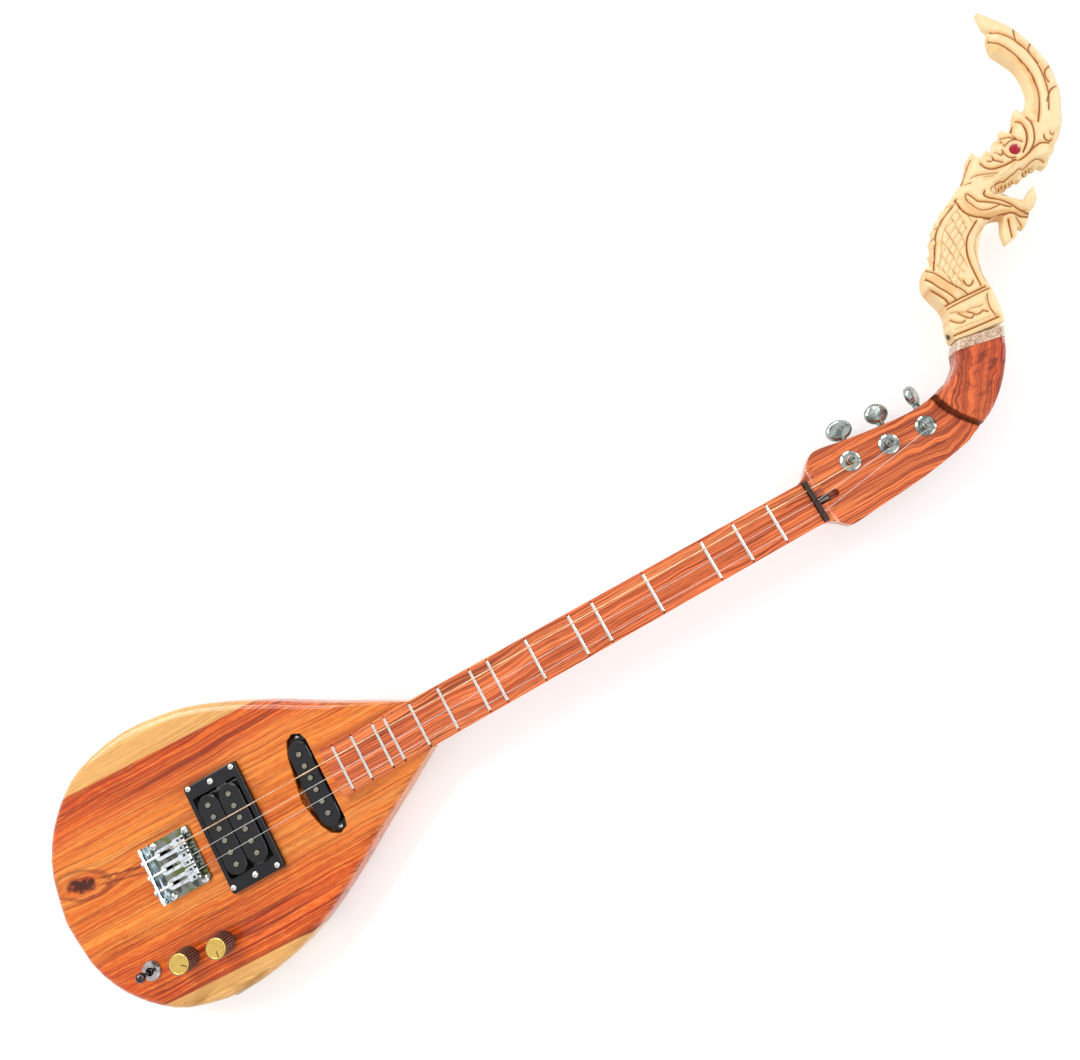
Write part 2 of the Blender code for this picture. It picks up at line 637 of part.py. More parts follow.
def make_fretboard(wood):
    """The board's long section with a slot for each fret, drawn out across the tapering width."""
    slot = FRET_TANG_WIDTH / 2 + GAP
    floor = BOARD_TOP_Z - FRET_TANG_DEPTH - GAP
    top = []
    for step in reversed(FRET_STEPS):
        x = SCALE_LENGTH * 2 ** (-step / 12)
        top += [(x - slot, BOARD_TOP_Z), (x - slot, floor), (x + slot, floor), (x + slot, BOARD_TOP_Z)]
    section = [(BOARD_NUT_X, BOARD_BOTTOM_Z), (BOARD_START_X, BOARD_BOTTOM_Z), (BOARD_START_X, BOARD_TOP_Z),
               *top, (BOARD_NUT_X, BOARD_TOP_Z)]
    rings = [[(x, side * board_half_width(x), z) for x, z in section] for side in (-1, 1)]
    return add_object("fretboard", loft(rings), wood)


def make_frets(steel):
    for step in FRET_STEPS:
        x = SCALE_LENGTH * 2 ** (-step / 12)
        half = board_half_width(x) - FRET_INSET
        base = BOARD_TOP_Z + GAP
        tang = FRET_TANG_WIDTH / 2
        ring = [(-tang, -FRET_TANG_DEPTH), (tang, -FRET_TANG_DEPTH), (tang, 0)]
        for arc in range(7):
            angle = math.pi * arc / 6
            ring.append((FRET_CROWN_WIDTH / 2 * math.cos(angle), FRET_CROWN_HEIGHT * math.sin(angle)))
        ring.append((-tang, 0))
        rings = [[(u, y, base + v) for u, v in ring] for y in (-half, half)]
        bm = loft(rings)
        add_object(f"fret_{step:02d}", bm, steel, location=(x, 0, 0))


def string_y(index, pitch, middle=0.0):
    return middle + (1 - index) * pitch


def make_nut(bone):
    """A plate across the neck, notched under each string."""
    half = BOARD_WIDTH_NUT / 2
    low = FACE_Z + NUT_SEAT + GAP
    top = FACE_Z + NUT_TOP
    section = [(half, low), (half, top - 0.8 * MM), (half - 0.8 * MM, top)]
    for index, diameter in enumerate(STRING_DIAMETERS):
        y = string_y(index, STRING_PITCH_NUT)
        notch = diameter / 2 + GAP
        floor = FACE_Z + STRING_HEIGHT_NUT - notch
        section += [(y + notch, top), (y + notch, floor), (y - notch, floor), (y - notch, top)]
    section += [(-half + 0.8 * MM, top), (-half, top - 0.8 * MM), (-half, low)]
    start = BOARD_NUT_X + GAP + GAP
    rings = [[(x, y, z) for y, z in section] for x in (start, start + NUT_LENGTH)]
    return add_object("nut", loft(rings), bone)


def make_truss_rod(steel):
    """A square-ended rod in the neck's channel, with its socket nut at the headstock."""
    half = TRUSS_CHANNEL_WIDTH / 2 - GAP
    axis_z = TRUSS_CHANNEL_FLOOR_Z + GAP + half
    start = TRUSS_CHANNEL_START_X + 2 * MM
    stud = 4 * MM
    end = TRUSS_ROD_END_X
    long_profile = ((0, start), (half * 0.85, start), (half * 0.85, end), (1.4 * MM, end),
                    (1.4 * MM, end + stud), (0, end + stud))
    truss = add_object("truss_rod", along_x(revolve(long_profile, 12)), steel, location=(0, TRUSS_Y, axis_z))
    join(truss, box(start - MM, start + 12 * MM, -half, half, -half, half))
    nut_start = TRUSS_ROD_END_X + GAP
    profile = ((0, 0), (half, 0), (half, TRUSS_NUT_LENGTH - 0.5 * MM), (half - 0.5 * MM, TRUSS_NUT_LENGTH),
               (0, TRUSS_NUT_LENGTH))
    nut = add_object("truss_rod_nut", along_x(revolve(profile, 18)), steel,
                     location=(nut_start, TRUSS_Y, axis_z))
    stud_hole = along_x(rod(1.4 * MM + GAP, -MM, stud + GAP, 12))
    socket = along_x(rod(TRUSS_SOCKET_ACROSS / math.sqrt(3), TRUSS_NUT_LENGTH - TRUSS_SOCKET_DEPTH,
                         TRUSS_NUT_LENGTH + MM, 6))
    cut(nut, stud_hole, socket)
    return truss, nut


def make_collar(stone):
    middle, across, along = collar_line()
    near_right = past_nut(CURVE_OUTER[-1]) + along * GAP
    near_left = past_nut(CURVE_INNER[0]) + along * GAP
    far_left = past_nut(COLLAR_FAR_LEFT)
    far_right = past_nut(COLLAR_FAR_RIGHT)
    far_left = near_left + (far_left - near_left).normalized() * (COLLAR_THICKNESS - GAP)
    far_right = near_right + (far_right - near_right).normalized() * (COLLAR_THICKNESS - GAP)
    outline = [near_left, near_right, far_right, far_left]
    bm = slab(outline, CURVE_BACK_Z, CURVE_FRONT_Z, CURVE_EDGE_RADIUS, CURVE_EDGE_RADIUS, 2, (0, 2))
    collar = add_object("head_collar", bm, stone)
    cut(collar, peg(PEG_DIAMETER / 2 + GAP, -5 * MM, COLLAR_THICKNESS + 5 * MM))
    return collar, far_left, far_right


def naga_outline():
    spine = smooth_run(NAGA_SPINE, 3)
    toothed = []
    for i in range(len(spine) - 1):
        a, b = Vector(spine[i]), Vector(spine[i + 1])
        out = Vector((-(b - a).y, (b - a).x)).normalized() * NAGA_SPINE_TOOTH
        toothed.append(tuple(a))
        if i % 2 == 0:
            toothed.append(tuple(b + out))
    return chain(smooth_run(NAGA_NAPE, 2), toothed, smooth_run(NAGA_SKULL, 2), smooth_run(NAGA_EAR[:3], 2),
                 NAGA_EAR[2:], NAGA_LEAVES, smooth_run(NAGA_CREST_IN, 2), NAGA_CREST_BARB,
                 smooth_run(NAGA_CREST_OUT, 3), smooth_run(NAGA_SNOUT, 2), NAGA_UPPER_TEETH, NAGA_MOUTH,
                 NAGA_LOWER_JAW, NAGA_BEARD, smooth_run(NAGA_THROAT, 3), start_x=BOARD_NUT_X)


def smooth_step(value, low, high):
    t = min(1, max(0, (value - low) / (high - low)))
    return t * t * (3 - 2 * t)


def naga_half_thickness(point):
    """Half thickness of the carving at a point and at its rim: it thins out along the crest and beard."""
    x, y = (point.x - BOARD_NUT_X) / MM, point.y / MM
    half = NAGA_HALF_THICKNESS
    half += (NAGA_CREST_HALF - NAGA_HALF_THICKNESS) * smooth_step(y, 166, 205)
    half += (NAGA_TIP_HALF - NAGA_CREST_HALF) * smooth_step(y, 225, 275)
    beard = smooth_step(x, 219.5, 233.5) * smooth_step(-y, -120, -112)
    half *= 1 - 0.45 * beard
    rim = NAGA_EDGE_COLUMN_HALF + (NAGA_EDGE_HEAD_HALF - NAGA_EDGE_COLUMN_HALF) * smooth_step(y, 100, 150)
    return half, rim * (1 - 0.6 * beard)


def edge_distance(point, outline):
    best = 1.0
    for a, b in zip(outline, [*outline[1:], outline[0]]):
        side = b - a
        t = min(1, max(0, (point - a).dot(side) / side.length_squared))
        best = min(best, (point - a - side * t).length)
    return best


def inside(point, outline):
    crossings = 0
    for a, b in zip(outline, [*outline[1:], outline[0]]):
        if (a.y > point.y) != (b.y > point.y):
            if point.x < a.x + (point.y - a.y) * (b.x - a.x) / (b.y - a.y):
                crossings += 1
    return crossings % 2 == 1


def relief(outline, spacing, mid_z, half_at):
    """A two-sided carved plate: crowned surfaces over a fine triangle net inside the outline."""
    low = Vector((min(p.x for p in outline), min(p.y for p in outline)))
    high = Vector((max(p.x for p in outline), max(p.y for p in outline)))
    net = list(outline)
    row_height = spacing * math.sqrt(3) / 2
    for row in range(int((high.y - low.y) / row_height) + 1):
        for column in range(int((high.x - low.x) / spacing) + 2):
            point = low + Vector(((column + 0.5 * (row % 2)) * spacing, row * row_height))
            if inside(point, outline) and edge_distance(point, outline) > 0.5 * spacing:
                net.append(point)
    result = delaunay_2d_cdt(net, [], [list(range(len(outline)))], 1, 1e-7)
    points, faces = result[0], result[2]
    bm = bmesh.new()
    front, back = [], []
    for point in points:
        depth = edge_distance(point, outline)
        round_off = 1 - min(1, depth / NAGA_EDGE_ROUND)
        full, rim = half_at(point)
        half = rim + (full - rim) * math.sqrt(1 - round_off ** 2)
        front.append(bm.verts.new((point.x, point.y, mid_z + half)))
        back.append(bm.verts.new((point.x, point.y, mid_z - half)))
    for face in faces:
        bm.faces.new([front[i] for i in face])
        bm.faces.new([back[i] for i in reversed(face)])
    for edge in [edge for edge in bm.edges if edge.is_boundary and edge.verts[0].co.z > mid_z]:
        a, b = (front.index(vert) for vert in edge.verts)
        bm.faces.new((front[a], front[b], back[b], back[a]))
    return bm


def make_naga(wood, gem_material):
    naga = add_object("naga_head", relief(naga_outline(), NAGA_FACET, NAGA_MID_Z, naga_half_thickness), wood,
                      smooth_angle=50)
    middle, across, along = collar_line()
    centre = middle + along * (COLLAR_THICKNESS + GAP)
    half = 40 * MM
    below = [centre - across * half, centre + across * half,
             centre + across * half - along * 30 * MM, centre - across * half - along * 30 * MM]
    cut(naga, slab(below, 0, 80 * MM), peg(PEG_DIAMETER / 2 + GAP, 0, COLLAR_THICKNESS + PEG_IN_NAGA + GAP))
    radius = EYE_DIAMETER / 2
    seat = NAGA_HALF_THICKNESS - EYE_SEAT_DEPTH
    for side, name in ((1, "eye_gem_front"), (-1, "eye_gem_back")):
        pocket = rod(radius + GAP, min(side * seat, side * 20 * MM), max(side * seat, side * 20 * MM), 16)
        cut(naga, shifted(pocket, EYE_X, EYE_Y, NAGA_MID_Z))
        facets = ((0, 0), (radius, 0), (radius, 1.6 * MM), (radius * 0.72, 2.9 * MM),
                  (radius * 0.35, 3.5 * MM), (0, 3.5 * MM))
        gem = revolve(facets, 8)
        if side < 0:
            moved(gem, Matrix.Rotation(math.pi, 4, "X"))
        add_object(name, gem, gem_material, location=(EYE_X, EYE_Y, NAGA_MID_Z + side * (seat + GAP)),
                   smooth_angle=10)
    return naga


def pole_places(middle_y):
    first = -(POLE_COUNT - 1) / 2
    return [middle_y + (first + i) * POLE_PITCH for i in range(POLE_COUNT)]


def stadium(width, length):
    """Outline with round ends, its length along Y."""
    reach = (length - width) / 2
    return capsule((0, -reach), (0, reach), width / 2, 5)


def make_bobbin(name, width, length, low, high, x, y, plastic, base_outline=None):
    """A coil former: two flanges, the wound coil between them and a hole for each pole."""
    flange = 1.5 * MM
    bottom = stadium(width, length)
    bobbin = add_object(name, slab(bottom, low, low + flange), plastic)
    if base_outline:
        join(bobbin, slab(base_outline, low, low + flange))
    join(bobbin, slab(stadium(width - 3 * MM, length - 3 * MM), low + 0.5 * MM, high - 0.5 * MM),
         slab(bottom, high - flange, high, 0, 0.6 * MM, 1))
    for pole_y in pole_places(0):
        cut(bobbin, shifted(rod(POLE_DIAMETER / 2 + GAP, low - 5 * MM, high + 5 * MM, 8), 0, pole_y, 0))
    bobbin.location = (x, y, 0)
    return bobbin


def make_pole_row(name, low, keeper, high, width, x, y, steel):
    """Six pole pieces on the steel bar that joins them under the coil."""
    reach = (POLE_COUNT - 1) / 2 * POLE_PITCH + POLE_DIAMETER / 2 + MM
    row = add_object(name, box(-width / 2, width / 2, -reach, reach, low, low + keeper), steel)
    radius = POLE_DIAMETER / 2
    for pole_y in pole_places(0):
        profile = ((0, low + keeper / 2), (radius, low + keeper / 2), (radius, high - 0.4 * MM),
                   (radius - 0.4 * MM, high), (0, high))
        join(row, shifted(revolve(profile, 8), 0, pole_y, 0))
    row.location = (x, y, 0)
    return row


def make_humbucker(plastic, nickel, steel):
    low = FACE_Z + GAP
    outer = moved_outline(rounded_rectangle(RING_LENGTH, RING_WIDTH, 2 * MM), HUMBUCKER_X, HUMBUCKER_Y)
    inner = moved_outline(rounded_rectangle(RING_OPENING_LENGTH, RING_OPENING_WIDTH, 1.5 * MM), HUMBUCKER_X,
                          HUMBUCKER_Y)
    ring = add_object("humbucker_ring", slab(outer, low, low + RING_HEIGHT, 0, 1.2 * MM, 2), plastic)
    cut(ring, slab(inner, low - MM, low + RING_HEIGHT + MM))
    plate_low = BOBBIN_TOP_Z - BOBBIN_HEIGHT - KEEPER_HEIGHT - BASEPLATE_THICKNESS - 3 * GAP
    plate_top = plate_low + BASEPLATE_THICKNESS
    length = 2 * HEIGHT_SCREW_REACH + 5 * MM
    plate = add_object("humbucker_baseplate",
                       slab(rounded_rectangle(BOBBIN_SPACING + BOBBIN_WIDTH, BOBBIN_LENGTH, 2 * MM), plate_low,
                            plate_top), nickel)
    join(plate, slab(rounded_rectangle(9 * MM, length, 2 * MM), plate_low, plate_top))
    head_low = low + RING_HEIGHT + GAP
    for side in (-1, 1):
        y = side * HEIGHT_SCREW_REACH
        cut(ring, shifted(rod(1.3 * MM + GAP, low - MM, head_low + MM, 8), HUMBUCKER_X, HUMBUCKER_Y + y, 0))
        profile = ((0, plate_low - 3 * MM), (1.3 * MM, plate_low - 3 * MM), (1.3 * MM, head_low),
                   (2.8 * MM, head_low), (2.6 * MM, head_low + 0.8 * MM), (1.6 * MM, head_low + 1.5 * MM),
                   (0, head_low + 1.6 * MM))
        join(plate, shifted(revolve(profile, 8), 0, y, 0))
    plate.location = (HUMBUCKER_X, HUMBUCKER_Y, 0)
    bar_low = plate_top + GAP
    bobbin_low = bar_low + KEEPER_HEIGHT + GAP
    for side, place in ((-1, "bridge"), (1, "neck")):
        x = HUMBUCKER_X + side * BOBBIN_SPACING / 2
        y = HUMBUCKER_Y - 0.7 * MM
        make_bobbin(f"humbucker_bobbin_{place}", BOBBIN_WIDTH, BOBBIN_LENGTH, bobbin_low, BOBBIN_TOP_Z, x, y,
                    plastic)
        make_pole_row(f"humbucker_poles_{place}", bar_low, KEEPER_HEIGHT, BOBBIN_TOP_Z + POLE_PROUD, 6.4 * MM,
                      x, y, steel)


def make_single_coil(plastic, steel):
    ears = moved_outline(stadium(COIL_EAR_WIDTH, COIL_EAR_LENGTH), COIL_EAR_OFFSET, -COIL_Y)
    bar_low = COIL_ROUT_FLOOR + GAP
    low = bar_low + KEEPER_HEIGHT + GAP
    make_bobbin("single_coil_bobbin", COIL_FLANGE_WIDTH, COIL_FLANGE_LENGTH, low, COIL_TOP_Z, COIL_X, COIL_Y,
                plastic, ears)
    make_pole_row("single_coil_poles", bar_low, KEEPER_HEIGHT, COIL_TOP_Z + COIL_POLE_PROUD, 6.4 * MM, COIL_X,
                  COIL_Y, steel)


def saddle_front(index):
    return SADDLE_OFFSETS[index] + SADDLE_CROWN_BACK / 2


def make_bridge(chrome, steel):
    """Bent plate, three block saddles and the screws that draw them back."""
    low = FACE_Z + GAP
    floor = low + BRIDGE_PLATE
    lip_top = floor + BRIDGE_LIP_HEIGHT
    lip_front = BRIDGE_BACK_X + BRIDGE_LIP
    section = [(BRIDGE_BACK_X, low), (BRIDGE_FRONT_X, low), (BRIDGE_FRONT_X, floor), (lip_front, floor),
               (lip_front, lip_top - MM), (lip_front - 0.8 * MM, lip_top), (BRIDGE_BACK_X + 0.8 * MM, lip_top),
               (BRIDGE_BACK_X, lip_top - MM)]
    half_width = BRIDGE_WIDTH / 2
    plate = add_object("bridge_plate", side_profile(section, BRIDGE_Y - half_width, BRIDGE_Y + half_width),
                       chrome)
    corners = moved_outline(rounded_rectangle(BRIDGE_FRONT_X - BRIDGE_BACK_X, BRIDGE_WIDTH, BRIDGE_CORNER),
                            (BRIDGE_FRONT_X + BRIDGE_BACK_X) / 2, BRIDGE_Y)
    combine(plate, slab(corners, low - MM, lip_top + MM), "INTERSECT")
    screw_z = floor + INTONATION_Z
    radius = INTONATION_DIAMETER / 2
    hole = radius + RUNNING_GAP
    head_x = BRIDGE_BACK_X - GAP
    saddle_low = floor + GAP
    crown_z = floor + SADDLE_CROWN
    for index, diameter in enumerate(STRING_DIAMETERS):
        y = string_y(index, STRING_PITCH_SADDLE, BRIDGE_Y)
        front = saddle_front(index)
        back = front - SADDLE_LENGTH
        string_hole = diameter / 2 + GAP
        string_z = saddle_low + GAP + diameter / 2 + 0.4 * MM
        cut(plate, shifted(along_x(rod(hole, BRIDGE_BACK_X - MM, lip_front + MM, 12)), 0, y, screw_z),
            shifted(along_x(rod(string_hole, BRIDGE_BACK_X - MM, lip_front + MM, 8)), 0, y, string_z))
        top = floor + SADDLE_TOP
        crown_back = front - SADDLE_CROWN_BACK
        shoulder = crown_z - 0.6 * MM
        section = [(back, saddle_low), (front, saddle_low), (front, top), (front - 0.7 * MM, shoulder),
                   (front - SADDLE_CROWN_BACK / 2, crown_z), (crown_back, shoulder),
                   (crown_back - 1.5 * MM, top), (back + 0.8 * MM, top), (back, top - 0.8 * MM)]
        half = SADDLE_WIDTH / 2
        saddle = add_object(f"saddle_{index + 1}", side_profile(section, y - half, y + half), chrome)
        groove = diameter / 2 + GAP
        slot_half = SADDLE_SLOT_WIDTH / 2
        slot_start = back + SADDLE_SLOT_START
        slot_end = slot_start + SADDLE_SLOT_LENGTH
        slot = capsule((slot_start + slot_half, y), (slot_end - slot_half, y), slot_half, 4)
        groove_floor = FACE_Z + STRING_HEIGHT_SADDLE - groove
        cut(saddle, slab(slot, saddle_low - MM, crown_z + MM),
            box(crown_back - 6 * MM, front + MM, y - groove, y + groove, groove_floor, crown_z + MM),
            box(back - MM, slot_start + slot_half, y - 1.3 * MM, y + 1.3 * MM, saddle_low - MM,
                string_z + string_hole),
            shifted(along_x(rod(hole, back - MM, slot_start + slot_half, 10)), 0, y, screw_z))
        tip = slot_start + 3 * MM - head_x
        profile = ((0, 0), (INTONATION_HEAD / 2 - 0.5 * MM, 0), (INTONATION_HEAD / 2, 0.6 * MM),
                   (INTONATION_HEAD / 2, 2 * MM), (radius, 2 * MM), (radius, tip + 2 * MM), (0, tip + 2 * MM))
        screw = add_object(f"intonation_screw_{index + 1}", along_x(revolve(profile, 10)), steel,
                           location=(head_x - 2 * MM, y, screw_z))
        cut(screw, box(-MM, 0.6 * MM, -0.4 * MM, 0.4 * MM, -INTONATION_HEAD, INTONATION_HEAD))


def string_route(index):
    """Centre line of one string from the bridge lip over saddle and nut to its post."""
    diameter = STRING_DIAMETERS[index]
    floor = FACE_Z + GAP + BRIDGE_PLATE
    y0 = string_y(index, STRING_PITCH_SADDLE, BRIDGE_Y)
    y1 = string_y(index, STRING_PITCH_NUT)
    front = saddle_front(index)
    low_z = floor + 2 * GAP + diameter / 2 + 0.4 * MM
    saddle_z = FACE_Z + STRING_HEIGHT_SADDLE
    nut_z = FACE_Z + STRING_HEIGHT_NUT
    crown_x = front - SADDLE_CROWN_BACK / 2
    slot_end = front - SADDLE_LENGTH + SADDLE_SLOT_START + SADDLE_SLOT_LENGTH
    top_z = floor + SADDLE_TOP + GAP + diameter / 2
    route = [(BRIDGE_BACK_X - 1.5 * MM, y0, low_z), (slot_end - 8.5 * MM, y0, low_z),
             (slot_end - 7.5 * MM, y0, low_z + 0.5 * MM), (slot_end - 1.4 * MM, y0, top_z - 0.2 * MM),
             (slot_end - 0.4 * MM, y0, top_z + 0.2 * MM), (crown_x - 3.2 * MM, y0, saddle_z - 0.7 * MM),
             (crown_x - 1.2 * MM, y0, saddle_z - 0.1 * MM), (crown_x, y0, saddle_z)]
    nut_x = BOARD_NUT_X + 2 * GAP + NUT_LENGTH / 2
    px, py = TUNER_POSTS[index]
    radius = TUNER_POST_WAIST / 2 + GAP + diameter / 2
    pitch = diameter + 0.25 * MM
    wind_top = FACE_Z + 7.1 * MM
    to_post = Vector((px - nut_x, py - y1))
    heading = math.atan2(to_post.y, to_post.x) + math.asin(radius / to_post.length)
    start = heading - math.pi / 2
    touch = (px + radius * math.cos(start), py + radius * math.sin(start))
    route += [(nut_x - 2.5 * MM, y1, nut_z), (nut_x, y1, nut_z), (nut_x + 2.5 * MM, y1, nut_z - 0.15 * MM),
              (*touch, wind_top)]
    for step in range(1, int(10 * STRING_TURNS[index]) + 1):
        turn = start + 2 * math.pi * step / 10
        route.append((px + radius * math.cos(turn), py + radius * math.sin(turn),
                      wind_top - pitch * step / 10))
    return route


def make_strings(bronze, steel):
    for index, diameter in enumerate(STRING_DIAMETERS):
        tube_curve(f"string_{index + 1}", string_route(index), diameter, bronze if index == 0 else steel)


def make_tuner(index, chrome):
    """Sealed worm gear under the headstock, post through it and button beside it."""
    px, py = TUNER_POSTS[index]
    top = HEADSTOCK_BACK_Z - GAP
    bottom = top - TUNER_HOUSING_DEPTH
    worm_z = (top + bottom) / 2
    axle = add_empty(f"tuner_frame_{index + 1}", (px, py, 0), (0, 0, TUNER_SKEW))
    outline = moved_outline(rounded_rectangle(20 * MM, 19 * MM, 3 * MM, 2), 2.8 * MM, 0)
    bore = TUNER_POST_DIAMETER / 2 + RUNNING_GAP
    shaft = TUNER_SHAFT_DIAMETER / 2
    washer_z = FACE_Z + GAP
    nut_z = washer_z + 1.2 * MM
    housing = add_object(f"tuner_housing_{index + 1}", slab(outline, bottom, top, 2 * MM, 0, 2), chrome)
    boss_end = 13 * MM
    boss = shifted(along_minus_y(rod(4.4 * MM, -boss_end, -5 * MM, 12)), TUNER_WORM_OFFSET, 0, worm_z)
    bush = TUNER_BUSH_DIAMETER / 2
    washer = TUNER_WASHER_DIAMETER / 2
    collar = ((0, top - MM), (bush, top - MM), (bush, washer_z), (washer, washer_z),
              (washer, washer_z + 0.5 * MM), (washer - 1.4 * MM, nut_z), (bush, nut_z), (0, nut_z))
    join(housing, boss, revolve(collar, 16), rod(5.8 * MM, nut_z - 0.3 * MM, nut_z + TUNER_HEX_HEIGHT, 6))
    worm_hole = along_minus_y(rod(shaft + RUNNING_GAP, -boss_end - MM, 5 * MM, 10))
    cut(housing, rod(bore, bottom + 3 * MM, nut_z + 5 * MM, 12),
        shifted(worm_hole, TUNER_WORM_OFFSET, 0, worm_z))
    radius = TUNER_POST_DIAMETER / 2
    waist = TUNER_POST_WAIST / 2
    waist_low = nut_z + TUNER_HEX_HEIGHT + GAP
    waist_high = FACE_Z + 8.4 * MM
    post_top = FACE_Z + TUNER_POST_TOP
    foot = bottom + 3 * MM + GAP
    profile = ((0, foot), (radius, foot), (radius, waist_low), (waist, waist_low + 0.4 * MM),
               (waist, waist_high - 0.5 * MM), (radius, waist_high), (radius, post_top - 0.6 * MM),
               (radius - 0.6 * MM, post_top), (1.2 * MM, post_top), (1.2 * MM, post_top - 1.5 * MM),
               (0, post_top - 1.5 * MM))
    post = add_object(f"tuner_post_{index + 1}", revolve(profile, 12), chrome)
    cut(post, shifted(along_x(rod(0.7 * MM, -5 * MM, 5 * MM, 6)), 0, 0, waist_high + 1.2 * MM))
    start = -4 * MM
    knee = BUTTON_REACH - 4.2 * MM
    stem_end = BUTTON_REACH + 5 * MM
    stem = ((0, start), (shaft, start), (shaft, knee - 1.2 * MM), (4 * MM, knee - 0.8 * MM),
            (4 * MM, knee + 1.2 * MM), (3 * MM, knee + 1.8 * MM), (3 * MM, stem_end), (0, stem_end))
    turn_y = Matrix.Rotation(-math.pi / 2, 4, "X")
    button = add_object(f"tuner_button_{index + 1}", moved(revolve(stem, 10), turn_y), chrome)
    oval = [Vector((BUTTON_WIDTH / 2 * math.cos(math.radians(20 * i)),
                    BUTTON_REACH + BUTTON_LENGTH / 2 + BUTTON_LENGTH / 2 * math.sin(math.radians(20 * i))))
            for i in range(18)]
    half = BUTTON_THICKNESS / 2
    join(button, slab(oval, -half, half, 3 * MM, 3 * MM, 2))
    button.location = (TUNER_WORM_OFFSET, 0, worm_z)
    button.rotation_euler = (0, math.radians(BUTTON_TURNS[index]), 0)
    for piece in (housing, post, button):
        piece.parent = axle


def make_knob(index, plastic, metal):
    """A fluted knob on its shaft, over the potentiometer in the control cavity."""
    x, y = KNOB_PLACES[index]
    name = ("volume", "tone")[index]
    ceiling = FACE_Z - TOP_UNDER_CONTROLS
    can_top = ceiling - GAP
    bush = POT_BUSH_DIAMETER / 2
    can = POT_CAN_DIAMETER / 2
    shaft = POT_SHAFT_DIAMETER / 2
    bore = shaft + 0.2 * MM
    nut_low = FACE_Z + GAP
    bush_top = FACE_Z + 4.6 * MM
    floor = can_top - 4 * MM
    can_low = can_top - POT_CAN_HEIGHT
    nut_high = nut_low + 2 * MM
    profile = ((0, can_low), (can - MM, can_low), (can, can_low + MM), (can, can_top), (bush, can_top),
               (bush, nut_low), (5.4 * MM, nut_low), (5.4 * MM, nut_high), (bush, nut_high),
               (bush, bush_top), (bore, bush_top), (bore, floor), (0, floor))
    add_object(f"{name}_pot", revolve(profile, 14), metal, location=(x, y, 0))
    low = FACE_Z + KNOB_LIFT
    top = low + KNOB_HEIGHT
    base = KNOB_DIAMETER / 2
    crown = KNOB_TOP_DIAMETER / 2
    rings = []
    for height, radius in ((low, base), (low + KNOB_HEIGHT * 0.35, base), (top - MM, crown)):
        ring = []
        for step in range(KNOB_FLUTES * 2):
            angle = math.pi * step / KNOB_FLUTES
            reach = radius - (KNOB_FLUTE_DEPTH if step % 2 else 0)
            ring.append((reach * math.cos(angle), reach * math.sin(angle), height))
        rings.append(ring)
    knob = add_object(f"{name}_knob", loft(rings), plastic)
    join(knob, rod(crown - 0.9 * MM, top - 2 * MM, top, 20))
    recess = low + 5.6 * MM
    cut(knob, rod(6.6 * MM, low - MM, recess, 12))
    join(knob, rod(shaft, floor + GAP, recess + MM, 12))
    cut(knob, box(2 * MM, crown + MM, -0.4 * MM, 0.4 * MM, top - 0.5 * MM, top + MM))
    knob.location = (x, y, 0)
    knob.rotation_euler = (0, 0, math.radians(KNOB_POINTERS[index]))


def make_switch(metal, dark):
    """Three-way toggle: body and threaded bush in the top, ball-ended lever in the bush."""
    x, y = SWITCH_PLACE
    ceiling = FACE_Z - TOP_UNDER_CONTROLS - GAP
    nut_low = FACE_Z + GAP
    bush = SWITCH_BUSH_DIAMETER / 2
    body = add_object("switch_body", box(-8.5 * MM, 8.5 * MM, -7 * MM, 7 * MM, ceiling - 14 * MM, ceiling),
                      metal)
    join(body, rod(bush, ceiling - MM, nut_low + 3.6 * MM, 14),
         rod(SWITCH_NUT_DIAMETER / 2, nut_low, nut_low + MM, 16),
         rod(SWITCH_NUT_DIAMETER / 2 - 0.6 * MM, nut_low + 0.5 * MM, nut_low + 3 * MM, 6))
    pivot = 3.1 * MM
    cut(body, rod(pivot + RUNNING_GAP, SWITCH_PIVOT_Z - 6 * MM, nut_low + 10 * MM, 12))
    stem = SWITCH_STEM_DIAMETER / 2
    ball = SWITCH_BALL_DIAMETER / 2
    profile = [(0, -5 * MM), (1.2 * MM, -5 * MM), (1.2 * MM, -pivot * 0.92)]
    for step in range(1, 6):
        angle = math.radians(-67 + 25 * step)
        profile.append((pivot * math.cos(angle), pivot * math.sin(angle)))
    profile.append((stem, pivot * 0.95))
    for step in range(7):
        angle = math.radians(-63 + 22 * step)
        profile.append((ball * math.cos(angle), SWITCH_LEVER_LENGTH + ball * math.sin(angle)))
    profile.append((0, SWITCH_LEVER_LENGTH + ball))
    add_object("switch_lever", revolve(profile, 12), dark, location=(x, y, SWITCH_PIVOT_Z))
    body.location = (x, y, 0)


def jack_face_y():
    """How far out the body's treble rim reaches beside the jack's flange."""
    reach = JACK_FLANGE_DIAMETER
    return min(point.y for point in body_outline() if abs(point.x - JACK_X) < reach)


def make_jack(chrome):
    """Barrel jack through the treble rim, its plug hole facing -Y."""
    flange_y = -jack_face_y() + GAP
    barrel = JACK_BARREL_DIAMETER / 2
    bore = JACK_BORE / 2
    flange = JACK_FLANGE_DIAMETER / 2
    inner = flange_y - 29 * MM
    outer = flange_y + JACK_FLANGE
    profile = ((0, inner), (barrel - MM, inner), (barrel, inner + MM), (barrel, flange_y), (flange, flange_y),
               (flange, outer - 0.8 * MM), (flange - 0.8 * MM, outer), (bore, outer),
               (bore, outer - JACK_BORE_DEPTH), (0, outer - JACK_BORE_DEPTH))
    add_object("output_jack", along_minus_y(revolve(profile, 16)), chrome, location=(JACK_X, 0, JACK_Z))


